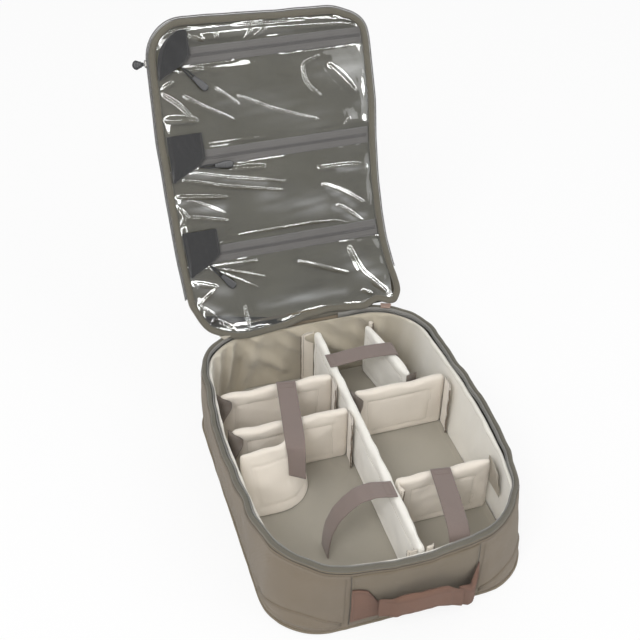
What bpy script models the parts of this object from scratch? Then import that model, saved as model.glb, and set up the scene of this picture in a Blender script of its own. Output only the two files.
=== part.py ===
"""Protective bag insert: a padded tub with loose dividers and straps, and a lid with clear zip pockets.

Metres, +Z up, +Y towards the hinge. The origin is at the middle of the underside, and the lid stands open.
"""

import math

import bmesh
import bpy
from mathutils import Vector

# Gap that each pair of touching pieces keeps, and the wider one between the layers of the wall
GAP = 0.0003
LAYER_GAP = 0.0005

# Tub, outside sizes at the rim and how much wider the base is
RIM_WIDTH = 0.300
RIM_LENGTH = 0.410
TUB_HEIGHT = 0.115
CORNER_RADIUS = 0.070
SIDE_BOW = 0.020
FRONT_BOW = 0.025
SIDE_FLARE = 0.0125
FRONT_FLARE = 0.0145

# Layers of the tub, from the outside in
SHELL_WALL = 0.002
SHELL_FLOOR = 0.002
FOAM_WALL = 0.008
LINER_WALL = 0.0015
LINER_DROP = 0.008
BASE_BOARD = 0.004
FLOOR_PAD = 0.006

# Rim trim, with each drop measured down from the top of the rim
RIM_PIPING = 0.006
BASE_PIPING = 0.005
BASE_PIPING_RISE = 0.0015
RIM_TAPE = 0.001
RIM_TAPE_DEEP = 0.010
RIM_TAPE_DROP = 0.0005
RIM_COIL = 0.0028
RIM_COIL_HIGH = 0.003
RIM_COIL_DROP = 0.0015

# Front panel, corner patches and grab handle
PANEL_WIDTH = 0.153
PANEL_LOW = 0.010
PANEL_HIGH = 0.104
PANEL_SHEET = 0.0012
CORNER_PATCH_HIGH = 0.034
CORNER_PATCH_SHEET = 0.001
CORNER_PATCH_START = 0.006
CORNER_PATCH_GAP = 0.0007
HANDLE_RISE = 0.052
HANDLE_PATCH_TALL = 0.074
HANDLE_PATCH_WIDE = 0.028
HANDLE_PATCH_SHEET = 0.002
HANDLE_PATCH_GAP = 0.0006
HANDLE_PATCH_SHARES = (0.0, 0.4, 0.75, 1.0)
GRIP_TALL = 0.036
GRIP_THICK = 0.008
GRIP_STANDOFF = 0.017
GRIP_END_GAP = 0.0008

# Section of the grip: shares of its thickness outwards and of its height
GRIP_PROFILE_SHARES = (
    (-0.5, -0.12),
    (-0.5, -0.88),
    (-0.2, -1.0),
    (0.2, -1.0),
    (0.5, -0.88),
    (0.5, -0.12),
    (0.2, 0.0),
    (-0.2, 0.0),
)

# Hinge strip and zip end tabs
HINGE_RISE = 0.005
HINGE_SHEET = 0.0012
HINGE_BEAD = 0.005
HINGE_WIDTH = 0.200
HINGE_DROP = 0.030
END_TAB_LONG = 0.014
END_TAB_WIDE = 0.011
END_TAB_SHEET = 0.0008

# Lid: sizes across, away from the hinge and square to its inner face
LID_LEAN_DEGREES = 60.0
LID_ASIDE = -0.008
LID_WIDTH = 0.294
LID_LENGTH = 0.404
LID_START = 0.0031
LID_FAR_RADIUS = 0.050
LID_NEAR_RADIUS = 0.036
LID_DEPTH = 0.008
COVER_SHEET = 0.0012
COVER_TURNUP = 0.0055
LID_FOAM = 0.0047
LINING_SHEET = 0.001
BINDING_WIDE = 0.0095
BINDING_TALL = 0.005
LID_TAPE = 0.001
LID_TAPE_WIDE = 0.0055
LID_COIL = 0.002

# Clear pockets and their zips, with the heights of the strip above the top zip and of the first two pockets
WINDOW_SHEET = 0.0006
STRIP_TALL = 0.0264
FIRST_POCKET_TALL = 0.1099
SECOND_POCKET_TALL = 0.1044
TAPE_WIDE = 0.022
TAPE_SHEET = 0.001
COIL_WIDE = 0.005
COIL_TALL = 0.001
ZIP_START = 0.0255
SLIDER_LONG = 0.010
SLIDER_WIDE = 0.008
SLIDER_TALL = 0.0035
SLIDER_REST = 0.043
STUB_THICK = 0.0016
GARAGE_SHEET = 0.0008
GARAGE_LIFT = 0.0004
GARAGE_WIDE = 0.042
GARAGE_ABOVE = 0.034
GARAGE_BELOW = 0.026
GARAGE_SLOPE = 0.031
# Clears the tub's rounder corner when the lid is shut
GARAGE_CORNER_RADIUS = 0.061
PULL_CORD = 0.0016
PULL_TAIL = 0.0005
PULL_CORD_LONG = 0.019
PADDLE_LONG = 0.025
PADDLE_WIDE = 0.010
PADDLE_THICK = 0.003
SHORT_CORD_LONG = 0.003
SHORT_PADDLE_LONG = 0.010
CLOSURE_REST_DROP = 0.0011
CLOSURE_LONG = 0.010
CLOSURE_WIDE = 0.0035
CLOSURE_TALL = 0.0044

# Where each pull's cord starts, across and along from its slider, and how it leans, from the top zip down
PULL_ROOTS = ((-0.0045, -0.013), (0.0, -0.0105), (-0.007, -0.0145))
PULL_LEANS_DEGREES = (-48.0, -2.0, -50.0)

# Dividers
DIVIDER_TALL = 0.0841
DIVIDER_THICK = 0.013
LONG_DIVIDER_THICK = 0.012
DIVIDER_EASE = 0.0035
DIVIDER_END_GAP = 0.0008
FLAP_SHEET = 0.002
CENTRAL_ACROSS = 0.0135
CENTRAL_REAR_FLAP = 0.018
CENTRAL_FRONT_FLAP = 0.010
SHORT_REAR_ACROSS = 0.081
SHORT_FRONT_ACROSS = 0.106
SHORT_REAR_FLAP = 0.012
LEFT_REAR_BAY = 0.092
LEFT_SECOND_BAY = 0.067
RIGHT_REAR_BAY = 0.1345
RIGHT_SECOND_BAY = 0.1585
SIDE_FLAP = 0.024
HOOK_TAB_SHEET = 0.0016
HOOK_TAB_LOW = 0.045
HOOK_TAB_DROP = 0.002
LEFT_TAB_REACH = 0.017
RIGHT_TAB_REACH = 0.024

# Curved divider: how deep its bay is, and how far its foot stands out from its top edge
CURVED_THICK = 0.010
CURVED_BAY = 0.0455
CURVED_TOP_ACROSS = -0.072
CURVED_TOP_RADIUS = 0.036
CURVED_LEAN = 0.031
CURVED_SIDE_LEAN = 0.017
CURVED_LOW_RADIUS = 0.050

# Webbing straps
STRAP_WIDE = 0.025
STRAP_SHEET = 0.0016
STRAP_LIFT = 0.0005
REAR_STRAP_SETBACK = 0.0695
LEFT_STRAP_ACROSS = -0.0575
LEFT_STRAP_HEADING_DEGREES = -10.0
FLOOR_STRAP_SETBACK = 0.090
FRONT_STRAP_ACROSS = 0.078
FRONT_STRAP_HEADING_DEGREES = -9.0

# Counts of facets
CORNER_STEPS = 6
SIDE_STEPS = 12
FRONT_STEPS = 10
REAR_STEPS = 4
LID_CORNER_STEPS = 6
PIPING_SIDES = 6
CURVE_STEPS = 8
WALL_STEPS = 6
PADDLE_STEPS = 5
SMOOTH_DEGREES = 35.0

# Heights worked out from the layers
TAPE_TOP = TUB_HEIGHT - RIM_TAPE_DROP
PIPING_LOW = TUB_HEIGHT - RIM_PIPING
BOARD_LOW = SHELL_FLOOR + GAP
LAYER_LOW = BOARD_LOW + BASE_BOARD + GAP
DIVIDER_LOW = LAYER_LOW + FLOOR_PAD + GAP
DIVIDER_TOP = DIVIDER_LOW + DIVIDER_TALL
STRAP_UNDER = DIVIDER_TOP + STRAP_LIFT
LINER_INSIDE = SHELL_WALL + LAYER_GAP + FOAM_WALL + LAYER_GAP + LINER_WALL

# Places along the tub, worked out from its rear wall and its front
REAR_INSIDE = RIM_LENGTH / 2 - LINER_INSIDE
LEFT_FIRST_ALONG = REAR_INSIDE - LEFT_REAR_BAY
LEFT_SECOND_ALONG = LEFT_FIRST_ALONG - LEFT_SECOND_BAY
RIGHT_FIRST_ALONG = REAR_INSIDE - RIGHT_REAR_BAY
RIGHT_SECOND_ALONG = RIGHT_FIRST_ALONG - RIGHT_SECOND_BAY
CURVED_TOP_ALONG = LEFT_SECOND_ALONG - CURVED_BAY
CURVED_LOW_ALONG = CURVED_TOP_ALONG - CURVED_LEAN
CURVED_LOW_ACROSS = CURVED_TOP_ACROSS + CURVED_SIDE_LEAN
REAR_STRAP_ALONG = REAR_INSIDE - REAR_STRAP_SETBACK
FLOOR_STRAP_ALONG = FLOOR_STRAP_SETBACK - RIM_LENGTH / 2

# The hinge line, just outside the rear wall and above the rim
HINGE_ALONG = RIM_LENGTH / 2 + GAP + HINGE_SHEET / 2
HINGE_UP = TUB_HEIGHT + HINGE_RISE

# Levels of the lid, up from the plane through the hinge line towards the tub
COVER_FLOOR = COVER_SHEET - LID_DEPTH
LID_FOAM_LOW = COVER_FLOOR + GAP
LINING_LOW = LID_FOAM_LOW + LID_FOAM + GAP
WINDOW_LOW = LINING_LOW + LINING_SHEET + GAP
TAPE_FACE = WINDOW_LOW + TAPE_SHEET
COIL_FACE = TAPE_FACE + COIL_TALL
SLIDER_LOW = COIL_FACE + GAP
SLIDER_FACE = SLIDER_LOW + SLIDER_TALL
GARAGE_LOW = SLIDER_FACE + GARAGE_LIFT
BINDING_FACE = LINING_LOW + BINDING_TALL
PADDLE_LOW = BINDING_FACE + GARAGE_LIFT
PULL_LEVEL = PADDLE_LOW + PULL_CORD / 2
PULL_SWEEP = math.hypot(PULL_TAIL, PULL_CORD / 2) + GAP
BINDING_INSET = BINDING_WIDE + 3 * GAP
LID_INSIDE = LID_WIDTH / 2 - BINDING_INSET

# Places up the lid, measured from the hinge and worked out from its far edge down
HALF_ZIP = TAPE_WIDE / 2 + GAP
STRIP_TOP = LID_START + LID_LENGTH - BINDING_INSET
TOP_ZIP_RISE = STRIP_TOP - STRIP_TALL - HALF_ZIP
MIDDLE_ZIP_RISE = TOP_ZIP_RISE - FIRST_POCKET_TALL - 2 * HALF_ZIP
LOW_ZIP_RISE = MIDDLE_ZIP_RISE - SECOND_POCKET_TALL - 2 * HALF_ZIP
CLOSURE_REST_RISE = LID_START + LID_LENGTH - LID_FAR_RADIUS - CLOSURE_REST_DROP

# Profile of the lid's binding: shares of its width inwards and of its height
BINDING_SHARES = ((0.0, 0.0), (0.0, 0.6), (0.22, 0.95), (0.7, 1.0), (1.0, 0.65), (1.0, 0.0))

# The least share of a sharp bend's half angle that a strap's thickness is divided by
MITRE_LIMIT_SHARE = 0.5

# Routes of the straps' undersides. Each row has a share of every run along the strap,
# then a share of the strap's thickness up and a share of the drop to the floor
REAR_ROUTE_SHARES = (
    (0.0, 0.0, 0.0),
    (0.15, 0.0, 0.0),
    (0.30, 1.0, 0.0),
    (0.55, 2.0, 0.0),
    (0.80, 1.0, 0.0),
    (0.975, 0.0, 0.0),
    (1.0, -2.0, 0.0),
    (1.005, 0.0, -0.28),
)
FLOOR_ROUTE_SHARES = (
    (0.0, 0.0, 0.0),
    (0.11, 1.0, 0.0),
    (0.315, 4.0, 0.0),
    (0.54, 2.0, 0.0),
    (0.70, 0.0, -0.09),
    (0.85, 0.0, -0.28),
    (0.945, 0.0, -0.53),
    (0.98, 0.0, -0.78),
    (0.99, 0.3, -1.0),
)
LEFT_ROUTE_SHARES = (
    (0.0, 0.0, 0.0, 0.0, 0.0),
    (1.0, 0.0, 0.0, 0.0, 0.0),
    (1.0, 0.80, 0.0, 0.0, 0.0),
    (1.0, 1.12, 0.0, -1.0, 0.0),
    (1.0, 1.12, 0.15, 0.0, -0.15),
    (1.0, 1.12, 0.48, 0.0, -0.45),
)
FRONT_ROUTE_SHARES = (
    (0.0, 0.0, 0.0),
    (0.10, 0.0, 0.0),
    (0.45, 1.0, 0.0),
    (0.80, 0.0, 0.0),
    (0.91, 0.0, -0.06),
    (0.94, 0.0, -0.17),
    (0.94, 0.0, -0.33),
)

# Colours as red, green and blue out of 255, with roughness and metallic share
COLOUR_STEPS = 255
DISPLAY_GAMMA = 2.2
FINISHES = {
    "olive_shell": ((128, 119, 100), 0.85, 0.0),
    "olive_panel": ((122, 114, 96), 0.85, 0.0),
    "lid_fabric": ((104, 101, 88), 0.85, 0.0),
    "binding": ((96, 96, 85), 0.7, 0.0),
    "beige_liner": ((226, 221, 210), 0.95, 0.0),
    "floor_fabric": ((165, 158, 145), 0.95, 0.0),
    "foam": ((205, 203, 198), 0.9, 0.0),
    "board": ((70, 68, 64), 0.8, 0.0),
    "brown_webbing": ((128, 116, 111), 0.75, 0.0),
    "brown_handle": ((128, 102, 90), 0.75, 0.0),
    "hook_brown": ((118, 100, 92), 0.9, 0.0),
    "tab_beige": ((214, 200, 184), 0.8, 0.0),
    "tab_pink": ((176, 142, 130), 0.8, 0.0),
    "zip_grey": ((122, 120, 121), 0.7, 0.0),
    "coil_grey": ((92, 91, 92), 0.5, 0.0),
    "black_fabric": ((48, 48, 48), 0.85, 0.0),
    "black_rubber": ((34, 34, 34), 0.55, 0.0),
    "slider_metal": ((46, 46, 48), 0.35, 1.0),
    "clear_vinyl": ((225, 228, 226), 0.05, 0.0),
}


def clear_scene():
    for item in list(bpy.data.objects):
        bpy.data.objects.remove(item)


def linear(value):
    """A colour value out of 255 as a share of linear light."""
    return (value / COLOUR_STEPS) ** DISPLAY_GAMMA


def finish(name):
    """The material of this name, made on its first use."""
    found = bpy.data.materials.get(name)
    if found:
        return found
    colour, roughness, metallic = FINISHES[name]
    made = bpy.data.materials.new(name)
    made.use_nodes = True
    shader = made.node_tree.nodes["Principled BSDF"]
    shader.inputs["Base Color"].default_value = (*(linear(value) for value in colour), 1.0)
    shader.inputs["Roughness"].default_value = roughness
    shader.inputs["Metallic"].default_value = metallic
    return made


def frame_empty(name, location, rotation=(0.0, 0.0, 0.0), parent=None):
    """An empty that stands on a joint and carries the pieces that move with it."""
    empty = bpy.data.objects.new(name, None)
    bpy.context.scene.collection.objects.link(empty)
    empty.location = location
    empty.rotation_euler = rotation
    empty.parent = parent
    return empty


def solid(name, sections, material, parent=None, ring=False):
    """One closed solid through sections of as many points each, with caps unless it is a ring."""
    mesh = bpy.data.meshes.new(name)
    shape = bmesh.new()
    rows = [[shape.verts.new(point) for point in section] for section in sections]
    pairs = list(zip(rows, rows[1:]))
    if ring:
        pairs.append((rows[-1], rows[0]))
    else:
        shape.faces.new(reversed(rows[0]))
        shape.faces.new(rows[-1])
    for one, other in pairs:
        for index, vertex in enumerate(one):
            after = (index + 1) % len(one)
            shape.faces.new((vertex, one[after], other[after], other[index]))
    bmesh.ops.recalc_face_normals(shape, faces=shape.faces)
    shape.to_mesh(mesh)
    shape.free()
    made = bpy.data.objects.new(name, mesh)
    made.data.materials.append(finish(material))
    made.data.shade_smooth()
    made.data.set_sharp_from_angle(angle=math.radians(SMOOTH_DEGREES))
    bpy.context.scene.collection.objects.link(made)
    made.parent = parent
    return made


def union(base, *others):
    """Joins other solids into the first one and hides them."""
    for other in others:
        cut = base.modifiers.new("join_" + other.name, "BOOLEAN")
        cut.operation = "UNION"
        cut.solver = "EXACT"
        cut.object = other
        other.hide_render = True
        other.display_type = "WIRE"
    return base


def arc(centre, radius, start, end, steps):
    """Points on a circle between two angles in degrees."""
    points = []
    for step in range(steps + 1):
        angle = math.radians(start + (end - start) * step / steps)
        points.append(Vector(centre) + radius * Vector((math.cos(angle), math.sin(angle))))
    return points


def between(start, end, steps):
    """Points that divide a straight line, without its ends."""
    return [start.lerp(end, step / steps) for step in range(1, steps)]


def outline(height, inset=0.0):
    """Plan of the tub wall at a height, moved in by an inset.

    It runs from the rear left corner round the front to the rear right corner, and the rear edge comes last.
    """
    base = edge_plan(SIDE_FLARE, FRONT_FLARE, 0.0, 0.0, inset)
    rim = edge_plan(0.0, 0.0, SIDE_BOW, FRONT_BOW, inset)
    return [low.lerp(high, height / TUB_HEIGHT) for low, high in zip(base, rim)]


def edge_plan(side_flare, front_flare, side_bow, front_bow, inset):
    """A rounded rectangle, with flares or bows to its sides and front."""
    across = RIM_WIDTH / 2 + side_flare - inset
    front = RIM_LENGTH / 2 + front_flare - inset
    rear = RIM_LENGTH / 2 - inset
    radius = CORNER_RADIUS - inset
    corners = (
        arc((radius - across, rear - radius), radius, 90, 180, CORNER_STEPS),
        arc((radius - across, radius - front), radius, 180, 270, CORNER_STEPS),
        arc((across - radius, radius - front), radius, 270, 360, CORNER_STEPS),
        arc((across - radius, rear - radius), radius, 0, 90, CORNER_STEPS),
    )
    points = []
    for index, steps in enumerate((SIDE_STEPS, FRONT_STEPS, SIDE_STEPS, REAR_STEPS)):
        after = corners[(index + 1) % len(corners)]
        points += corners[index] + between(corners[index][-1], after[0], steps)
    bowed = []
    for point in points:
        reach = (front if point.y < 0 else rear) + inset
        out = side_bow * math.cos(math.pi / 2 * point.y / reach) * point.x / across
        fore = front_bow * math.cos(math.pi / 2 * point.x / (across + inset)) * min(point.y / front, 0)
        bowed.append(Vector((point.x + out, point.y + fore)))
    return bowed


def front_spread(height):
    """How much wider the straight part of the front wall is at a height than at the rim."""
    straight = RIM_WIDTH / 2 - CORNER_RADIUS
    return 1 + SIDE_FLARE / straight * (1 - height / TUB_HEIGHT)


def front_point(rim_across, height, inset=0.0):
    """A point of the front wall at a height, below a place across the rim."""
    up = height / TUB_HEIGHT
    bow = FRONT_BOW * up * math.cos(math.pi * rim_across / RIM_WIDTH)
    along = inset - RIM_LENGTH / 2 - FRONT_FLARE * (1 - up) - bow
    return Vector((rim_across * front_spread(height), along, height))


def front_face(across, height, inset=0.0):
    """How far along Y the front wall stands at a place across it."""
    return front_point(across / front_spread(height), height, inset).y


def side_room(*alongs):
    """Half the clear width between the side walls, the least over some places and heights."""
    rooms = []
    for along in alongs:
        for height in (DIVIDER_LOW, DIVIDER_TOP):
            up = height / TUB_HEIGHT
            reach = RIM_LENGTH / 2 + FRONT_FLARE * (1 - up)
            bow = SIDE_BOW * up * math.cos(math.pi / 2 * along / reach)
            rooms.append(RIM_WIDTH / 2 + SIDE_FLARE * (1 - up) + bow - LINER_INSIDE)
    return min(rooms) - DIVIDER_END_GAP


def raised(points, height):
    """Plan points lifted to a height."""
    return [(point[0], point[1], height) for point in points]


def levels(low, high):
    """Two heights and the levels between them that the wall's layers share, going up."""
    shared = [TUB_HEIGHT * step / WALL_STEPS for step in range(WALL_STEPS)]
    return [low] + [level for level in shared if low + GAP < level < high - GAP] + [high]


def tub_band(name, outer, inner, low, high, material, open_rear=False):
    """A band that follows the tub wall between two insets and two heights."""
    rising = levels(low, high)
    heights = rising + rising[::-1]
    loops = [outline(height, outer) for height in rising]
    loops += [outline(height, inner) for height in rising[::-1]]
    count = len(loops[0]) - (REAR_STEPS - 1 if open_rear else 0)
    sections = []
    for index in range(count):
        sections.append([(*loop[index], height) for loop, height in zip(loops, heights)])
    return solid(name, sections, material, ring=not open_rear)


def tub_piping(name, height, inset, diameter, material):
    """A round cord that follows the tub wall."""
    sections = []
    for far, near in zip(outline(height, inset - diameter / 2), outline(height, inset + diameter / 2)):
        middle, reach = (far + near) / 2, (far - near) / 2
        section = []
        for side in range(PIPING_SIDES):
            angle = 2 * math.pi * (side + 0.5) / PIPING_SIDES
            section.append((*(middle + reach * math.cos(angle)), height + diameter / 2 * math.sin(angle)))
        sections.append(section)
    return solid(name, sections, material, ring=True)


def tub_layers():
    """Shell, base board, side foam, liner and floor pad, each inside the one before."""
    shell_top = PIPING_LOW - GAP
    outside = [raised(outline(height), height) for height in levels(0.0, shell_top)]
    inside = [raised(outline(height, SHELL_WALL), height) for height in levels(SHELL_FLOOR, shell_top)]
    solid("outer_shell", outside + inside[::-1], "olive_shell")
    tub_sheet("base_board", SHELL_WALL + GAP, BOARD_LOW, BASE_BOARD, "board")
    foam_outside = SHELL_WALL + LAYER_GAP
    foam_inside = foam_outside + FOAM_WALL
    foam_top = TAPE_TOP - RIM_TAPE_DEEP - GAP
    tub_band("side_foam", foam_outside, foam_inside, LAYER_LOW, foam_top, "foam")
    liner_top = TUB_HEIGHT - LINER_DROP
    tub_band("wall_liner", foam_inside + LAYER_GAP, LINER_INSIDE, LAYER_LOW, liner_top, "beige_liner")
    tub_sheet("floor_pad", LINER_INSIDE + GAP, LAYER_LOW, FLOOR_PAD, "floor_fabric")


def tub_sheet(name, inset, low, thickness, material):
    """A sheet that lies in the tub and follows its walls."""
    high = low + thickness
    solid(name, [raised(outline(low, inset), low), raised(outline(high, inset), high)], material)


def plate(name, plan, low, thickness, material, parent=None):
    """A flat sheet with a plan outline."""
    return solid(name, [raised(plan, low), raised(plan, low + thickness)], material, parent)


def rim_trim():
    """Piping round the rim and the base, and the tub's half of the closing zip."""
    tub_piping("rim_piping", TUB_HEIGHT - RIM_PIPING / 2, RIM_PIPING / 2, RIM_PIPING, "binding")
    base_height = BASE_PIPING_RISE + BASE_PIPING / 2
    tub_piping("base_piping", base_height, -BASE_PIPING / 2 - GAP, BASE_PIPING, "binding")
    tape_outside = RIM_PIPING + GAP
    tape_low = TAPE_TOP - RIM_TAPE_DEEP
    tub_band("tub_zip_tape", tape_outside, tape_outside + RIM_TAPE, tape_low, TAPE_TOP, "zip_grey", True)
    coil_outside = tape_outside + RIM_TAPE + GAP
    coil_top = TUB_HEIGHT - RIM_COIL_DROP
    coil_low = coil_top - RIM_COIL_HIGH
    tub_band("tub_zip_coil", coil_outside, coil_outside + RIM_COIL, coil_low, coil_top, "coil_grey", True)


def front_sheet(name, places, inset, thickness, material):
    """A sheet on the front wall: its places are distances across the rim, each with two edge heights."""
    sections = []
    for across, low, high in places:
        heights = [low + (high - low) * step / WALL_STEPS for step in range(WALL_STEPS + 1)]
        section = [front_point(across, height, -inset) for height in heights]
        section += [front_point(across, height, -inset - thickness) for height in heights[::-1]]
        sections.append(section)
    return solid(name, sections, material)


def front_panel():
    places = []
    for step in range(FRONT_STEPS + 1):
        places.append((PANEL_WIDTH * (step / FRONT_STEPS - 1 / 2), PANEL_LOW, PANEL_HIGH))
    front_sheet("front_panel", places, GAP, PANEL_SHEET, "olive_panel")


def corner_patch(name, first):
    """A low patch round a front corner, with an arched top edge."""
    sections = []
    for index in range(CORNER_STEPS - 1):
        arch = math.sin(math.pi * (index + 0.5) / (CORNER_STEPS - 1))
        low = BASE_PIPING_RISE + BASE_PIPING + BASE_PIPING_RISE
        high = low + CORNER_PATCH_START + (CORNER_PATCH_HIGH - low - CORNER_PATCH_START) * arch
        section = []
        for height, depth in ((low, 0), (high, 0), (high, CORNER_PATCH_SHEET), (low, CORNER_PATCH_SHEET)):
            section.append((*outline(height, -CORNER_PATCH_GAP - depth)[first + index], height))
        sections.append(section)
    return solid(name, sections, "olive_panel")


def corner_patches():
    left = CORNER_STEPS + SIDE_STEPS + 1
    right = left + CORNER_STEPS + FRONT_STEPS
    corner_patch("corner_patch_left", left)
    corner_patch("corner_patch_right", right)


def handle_patch(name, side):
    """A wedge sewn on the front panel: tall at the panel's seam and as tall as the grip inside."""
    places = []
    for share in HANDLE_PATCH_SHARES:
        tall = HANDLE_PATCH_TALL + (GRIP_TALL - HANDLE_PATCH_TALL) * math.sin(math.pi / 2 * share)
        across = side * (PANEL_WIDTH / 2 - HANDLE_PATCH_WIDE * share)
        places.append((across, HANDLE_RISE - tall / 2, HANDLE_RISE + tall / 2))
    inset = GAP + PANEL_SHEET + HANDLE_PATCH_GAP
    front_sheet(name, places, inset, HANDLE_PATCH_SHEET, "brown_handle")


def grab_handle():
    """The grip between the two patches, on an empty at the line where it swings, its upper edge."""
    handle_patch("handle_patch_left", -1)
    handle_patch("handle_patch_right", 1)
    half = PANEL_WIDTH / 2 - HANDLE_PATCH_WIDE - GRIP_END_GAP
    sheets = GAP + PANEL_SHEET + HANDLE_PATCH_GAP
    top = HANDLE_RISE + GRIP_TALL / 2
    end_face = front_face(half, top, -sheets)
    pivot = frame_empty("handle_pivot", (0.0, end_face - GRIP_THICK / 2, top))
    sections = []
    for step in range(2 * CURVE_STEPS + 1):
        share = step / CURVE_STEPS - 1
        out = GRIP_THICK / 2 + GRIP_STANDOFF * (1 - abs(share) ** 3)
        middle = front_face(half * share, top, -sheets) - out - pivot.location.y
        section = []
        for deep, rise in GRIP_PROFILE_SHARES:
            section.append((half * share, middle + GRIP_THICK * deep, GRIP_TALL * rise))
        sections.append(section)
    solid("handle_grip", sections, "brown_handle", pivot)


def hinge_strip():
    """The strip that carries the lid, with a bead on the hinge line."""
    bead = HINGE_BEAD / 2
    half = HINGE_SHEET / 2
    neck = math.degrees(math.asin(half / bead))
    profile = [Vector((half, -HINGE_DROP))]
    profile += arc((0, 0), bead, neck - 90, 270 - neck, CURVE_STEPS)
    profile.append(Vector((-half, -HINGE_DROP)))
    sections = []
    for across in (LID_ASIDE - HINGE_WIDTH / 2, LID_ASIDE + HINGE_WIDTH / 2):
        sections.append([(across, HINGE_ALONG + y, HINGE_UP + z) for y, z in profile])
    solid("hinge_strip", sections, "lid_fabric")


def zip_end_tab(name, index, material):
    """A folded tab over an end of the closing zip, on the rim; index is its place round the outline."""
    middle = outline(TUB_HEIGHT, RIM_PIPING / 2)[index]
    outward = (outline(TUB_HEIGHT)[index] - middle).normalized()
    along = Vector((-outward.y, outward.x))
    plan = []
    for x, y in ((-1, -1), (1, -1), (1, 1), (-1, 1)):
        plan.append(middle + along * END_TAB_LONG / 2 * x + outward * END_TAB_WIDE / 2 * y)
    plate(name, plan, TUB_HEIGHT + GAP, END_TAB_SHEET, material)


def zip_end_tabs():
    from_rear = CORNER_STEPS // 3
    zip_end_tab("zip_end_tab_left", from_rear, "tab_beige")
    zip_end_tab("zip_end_tab_right", len(outline(TUB_HEIGHT)) - REAR_STEPS - from_rear, "tab_pink")


def lid_outline(inset=0.0):
    """Plan of the lid, from the near end of its left side round the far edge; the near edge comes last."""
    half = LID_WIDTH / 2 - inset
    far = LID_START + LID_LENGTH - inset
    near = LID_START + inset
    far_radius = LID_FAR_RADIUS - inset
    near_radius = LID_NEAR_RADIUS - inset
    points = [Vector((-half, near + near_radius))]
    points += arc((far_radius - half, far - far_radius), far_radius, 180, 90, LID_CORNER_STEPS)
    points += arc((half - far_radius, far - far_radius), far_radius, 90, 0, LID_CORNER_STEPS)
    points += arc((half - near_radius, near + near_radius), near_radius, 0, -90, LID_CORNER_STEPS)
    points += arc((near_radius - half, near + near_radius), near_radius, -90, -180, LID_CORNER_STEPS)[:-1]
    return points


def lid_band(name, profile, material, parent, open_near=False):
    """A band that follows the lid's edge: its profile lists insets and levels."""
    loops = [lid_outline(inset) for inset, _ in profile]
    count = 2 * LID_CORNER_STEPS + 4 if open_near else len(loops[0])
    sections = []
    for index in range(count):
        sections.append([(*loop[index], level) for loop, (_, level) in zip(loops, profile)])
    return solid(name, sections, material, parent, ring=not open_near)


def square_profile(outer, inner, low, high):
    return ((outer, low), (outer, high), (inner, high), (inner, low))


def lid_layers(lid):
    """Cover, foam, lining and binding of the lid, and its half of the closing zip."""
    turnup = COVER_TURNUP - LID_DEPTH
    solid(
        "lid_outer_cover",
        [
            raised(lid_outline(), -LID_DEPTH),
            raised(lid_outline(), turnup),
            raised(lid_outline(COVER_SHEET), turnup),
            raised(lid_outline(COVER_SHEET), COVER_FLOOR),
        ],
        "lid_fabric",
        lid,
    )
    plate("lid_foam_panel", lid_outline(COVER_SHEET + GAP), LID_FOAM_LOW, LID_FOAM, "foam", lid)
    plate("lid_lining", lid_outline(BINDING_WIDE + GAP), LINING_LOW, LINING_SHEET, "lid_fabric", lid)
    binding = [(BINDING_WIDE * wide, LINING_LOW + BINDING_TALL * tall) for wide, tall in BINDING_SHARES]
    lid_band("lid_binding", binding, "binding", lid)
    tape_low = turnup - LID_TAPE_WIDE
    tape = square_profile(-GAP - LID_TAPE, -GAP, tape_low, turnup)
    lid_band("lid_zip_tape", tape, "zip_grey", lid, True)
    coil = square_profile(-2 * GAP - LID_TAPE - LID_COIL, -2 * GAP - LID_TAPE, turnup - LID_COIL, turnup)
    lid_band("lid_zip_coil", coil, "coil_grey", lid, True)


def lid_edge_across(rise, inset, corner_radius=LID_FAR_RADIUS):
    """Half the lid's width inside an inset, at a rise from the hinge."""
    half = LID_WIDTH / 2 - inset
    far = LID_START + LID_LENGTH - inset
    near = LID_START + inset
    for radius, over in (
        (corner_radius - inset, rise - far + corner_radius - inset),
        (LID_NEAR_RADIUS - inset, near + LID_NEAR_RADIUS - inset - rise),
    ):
        if over > 0:
            return half - radius + math.sqrt(max(radius**2 - over**2, 0))
    return half


def window(name, low, high, lid):
    """A clear sheet between two rises, inside the binding."""
    rises = []
    for step in range(2 * CURVE_STEPS + 1):
        share = (1 - math.cos(math.pi * step / (2 * CURVE_STEPS))) / 2
        rises.append(low + (high - low) * share)
    left = [Vector((-lid_edge_across(rise, BINDING_INSET), rise)) for rise in rises]
    right = [Vector((lid_edge_across(rise, BINDING_INSET), rise)) for rise in reversed(rises)]
    plate(name, left + right, WINDOW_LOW, WINDOW_SHEET, "clear_vinyl", lid)


def windows(lid):
    """The strip above the top zip and the three pocket fronts, from the far edge to the hinge."""
    edges = [STRIP_TOP]
    for rise in (TOP_ZIP_RISE, MIDDLE_ZIP_RISE, LOW_ZIP_RISE):
        edges += [rise + HALF_ZIP, rise - HALF_ZIP]
    edges.append(LID_START + BINDING_INSET)
    names = ("window_strip", "pocket_window_1", "pocket_window_2", "pocket_window_3")
    for name, high, low in zip(names, edges[0::2], edges[1::2]):
        window(name, low, high, lid)


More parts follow.
